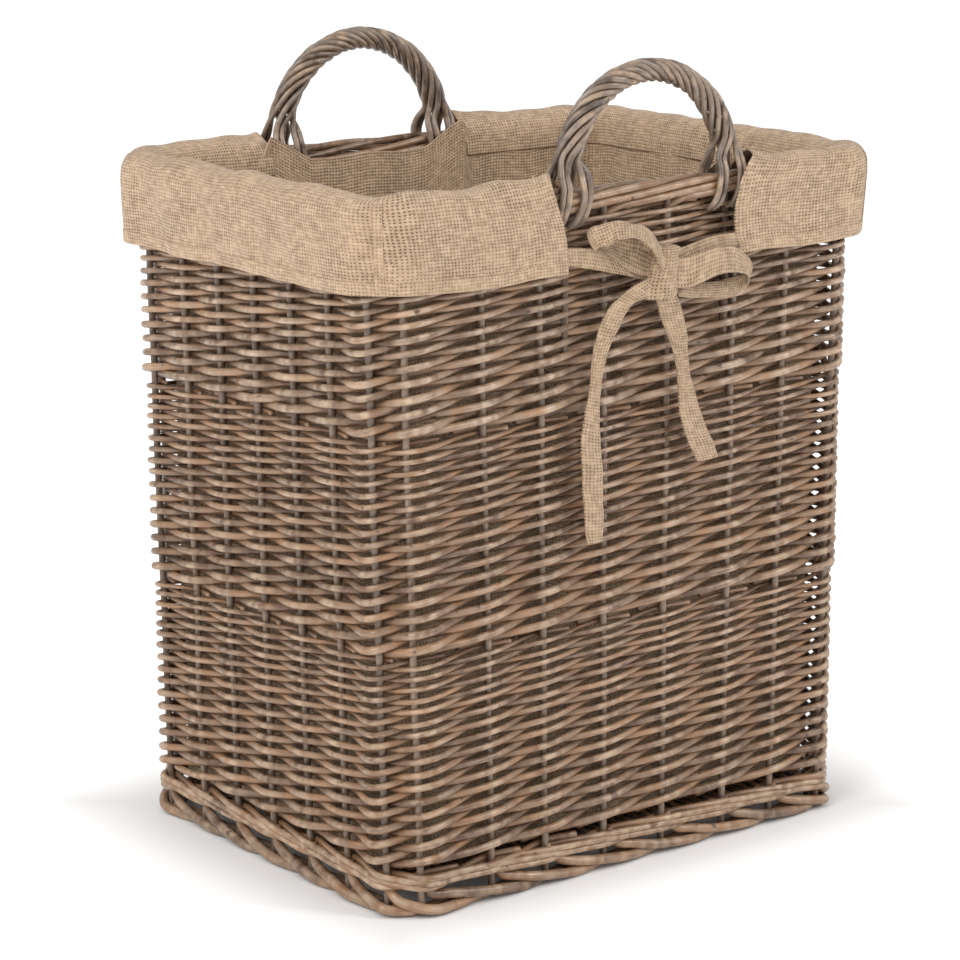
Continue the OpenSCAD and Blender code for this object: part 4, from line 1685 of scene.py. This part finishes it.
    def build_bag(self) -> None:
        """Makes the bag: a floor and four walls, with a peak beside each handle leg."""
        count, corners = self.ring.count, self.ring.CORNERS
        front = tuple(count + self.ring.at_x(x, True) for x in self.peaks)
        back = tuple(self.ring.at_x(-x, False) for x in self.peaks)
        walls = (
            ("front", corners[3], count + corners[0], front), ("right", *corners[:2], None),
            ("back", *corners[1:3], back), ("left", *corners[2:], None),
        )
        panels = [
            (side, self.wall(start, end, 81 + 2 * n, cut), "hung", "top_border_rods")
            for n, (side, start, end, cut) in enumerate(walls)
        ]
        panels.append(("floor", self.bag_floor(), "laid", "base_weavers"))
        for side, points, held, on in panels:
            grid = ClothGrid(points)
            piece = grid.build(f"bag_{side}", self.cloth_t, 0)
            self.dress(piece, Finish.HESSIAN, "hessian", f"liner_{side}")
            self.declare(piece, grid.sizes(), held, on)

    def knot_points(self, seed: int) -> np.ndarray:
        """The wrapped knot of a bow: a short band round the crossing of the ribbons."""
        rows = smooth_run([(x, self.knot_y, z, half, deep) for z, x, half, deep in self.knot], 3)
        turn = np.radians(np.linspace(-165, 165, 45))
        creases = np.cos(4.0 * turn[None] + 0.05 * (rows[:, 2:3] - 384.0)) * 0.05
        creases = creases + np.cos(9.0 * turn[None] + seed) * 0.022
        swell = 1.0 + creases * np.clip((rows[:, 3:4] - 5.0) / 6.0, 0, 1)
        x = rows[:, :1] + rows[:, 3:4] * swell * np.sin(turn)
        y = rows[:, 1:2] - rows[:, 4:5] * swell * np.cos(turn)
        return np.stack([x, y, rows[:, 2:3] + 0 * x], -1)

    def build_bow(self, side: str, turned: bool, seed: int) -> None:
        """Makes one bow with its two ties.

        Args:
            side: "front" or "back".
            turned: True on the back, where everything is turned half round.
            seed: Picks its small waves.
        """
        pieces = [
            (ribbon.title, ribbon.node, ribbon.points(seed + 3 * n), ribbon.held, ribbon.rests_on)
            for n, ribbon in enumerate(self.ribbons)
        ]
        pieces.append(("knot", "bow_knot", self.knot_points(seed), "folded", "ribbon_left"))
        for title, node, points, held, rests_on in pieces:
            grid = ClothGrid(half_turn(points) if turned else points)
            piece = grid.build(f"{side}_{title}", self.ribbon_t)
            self.dress(piece, Finish.RIBBON, "ribbon", f"{side}_{node}")
            on = rests_on if rests_on.endswith("cuff") else f"{side}_{rests_on}"
            self.declare(piece, grid.sizes(), held, on)

    def build(self) -> None:
        """Makes the whole lining."""
        self.build_bag()
        self.build_cuffs()
        self.build_bow("front", False, 101)
        self.build_bow("back", True, 131)


# ---------------------------------------------------------------- stage


@dataclass
class Stage:
    """The pale floor, which glows as painted light away from the basket's foot, the soft lights and the
    camera.
    """

    azimuth: float = -37.83
    elevation: float = 13.47
    distance: float = 2.2305
    aim: tuple[float, float, float] = (-0.0088, 0.0069, 0.2354)
    lens: float = 120.6
    floor_size: float = 60.0
    foot: tuple[float, float] = (0.198, 0.152)
    # Painted light: how strongly the floor glows away from the basket's foot and at the foot.
    glow: float = 0.42
    foot_glow: float = 0.02
    floor_white: float = 0.8
    sky: float = 0.74
    light_colour: Colour = (1.0, 0.985, 0.965)
    light_aim: tuple[float, float, float] = (0.0, 0.0, 0.25)

    def camera(self) -> None:
        """Places the camera."""
        data = bpy.data.cameras.new("view")
        data.lens, data.sensor_width = self.lens, 36.0
        data.clip_start, data.clip_end = 0.05, 200.0
        camera = place_object("view", data)
        a, e = math.radians(self.azimuth), math.radians(self.elevation)
        back = Vector((math.sin(a) * math.cos(e), -math.cos(a) * math.cos(e), math.sin(e)))
        camera.location = Vector(self.aim) + back * self.distance
        camera.rotation_mode = "QUATERNION"
        camera.rotation_quaternion = (-back).to_track_quat("-Z", "Y")
        bpy.context.scene.camera = camera

    def soft_light(self, name: str, place: tuple[float, float, float], size: float, power: float) -> None:
        """Hangs one soft box that faces the basket.

        Args:
            name: The light's name.
            place: Where it hangs, in metres.
            size: The side of the box, in metres.
            power: Its power, in watts.
        """
        data = bpy.data.lights.new(name, "AREA")
        data.size, data.energy = size, power
        data.color = self.light_colour
        lamp = place_object(name, data)
        lamp.location = place
        aim = Vector(self.light_aim) - Vector(place)
        lamp.rotation_mode = "QUATERNION"
        lamp.rotation_quaternion = aim.to_track_quat("-Z", "Y")

    def build(self) -> None:
        """Sets the stage."""
        bpy.ops.object.select_all(action="DESELECT")
        bpy.ops.mesh.primitive_plane_add(size=self.floor_size, location=(0, 0, -0.0002))
        floor = bpy.context.active_object
        floor.name = "floor"
        made = bpy.data.materials.new("pale_glowing_floor")
        made.use_nodes = True
        shader = made.node_tree.nodes["Principled BSDF"]
        g = Graph(made.node_tree)
        # Painted light: the floor glows to lift the basket's cast shadow to white, the glow fading to almost
        # nothing at the foot so the contact shadow stays.
        x, y, _ = g.split(g.add("ShaderNodeTexCoord", {}).outputs["Object"])
        beside = g.minus(g.math("ABSOLUTE", x), self.foot[0])
        before = g.minus(g.math("ABSOLUTE", y), self.foot[1])
        glow = g.ramp(g.math("MAXIMUM", beside, before), -0.01, 0.09, self.foot_glow, self.glow)
        made.node_tree.links.new(glow, shader.inputs["Emission Strength"])
        white = self.floor_white
        for name, value in (
            ("Base Color", (white, white, white, 1.0)), ("Emission Color", (1.0, 1.0, 1.0, 1.0)),
            ("Roughness", 1.0), ("Specular IOR Level", 0.0),
        ):
            shader.inputs[name].default_value = value
        floor.data.materials.append(made)
        scene = bpy.context.scene
        scene.view_settings.view_transform = "Standard"
        world = bpy.data.worlds.new("studio")
        world.use_nodes = True
        background = world.node_tree.nodes["Background"]
        background.inputs["Color"].default_value = (1.0, 1.0, 1.0, 1.0)
        background.inputs["Strength"].default_value = self.sky
        scene.world = world
        self.soft_light("key", (-3.0, -0.7, 2.5), 2.2, 76.0)
        self.soft_light("fill", (1.9, -2.6, 2.3), 0.8, 42.0)
        self.camera()


def main() -> None:
    """Builds the stage, the willow work and the lining, and reports each piece."""
    logging.basicConfig(level=logging.INFO, format="%(name)s: %(message)s")
    Stage().build()
    ring = StakeRing()
    finishes = make_finishes()
    Willowwork(ring, finishes).build()
    Lining(ring, finishes).build()


if __name__ == "__main__":
    main()
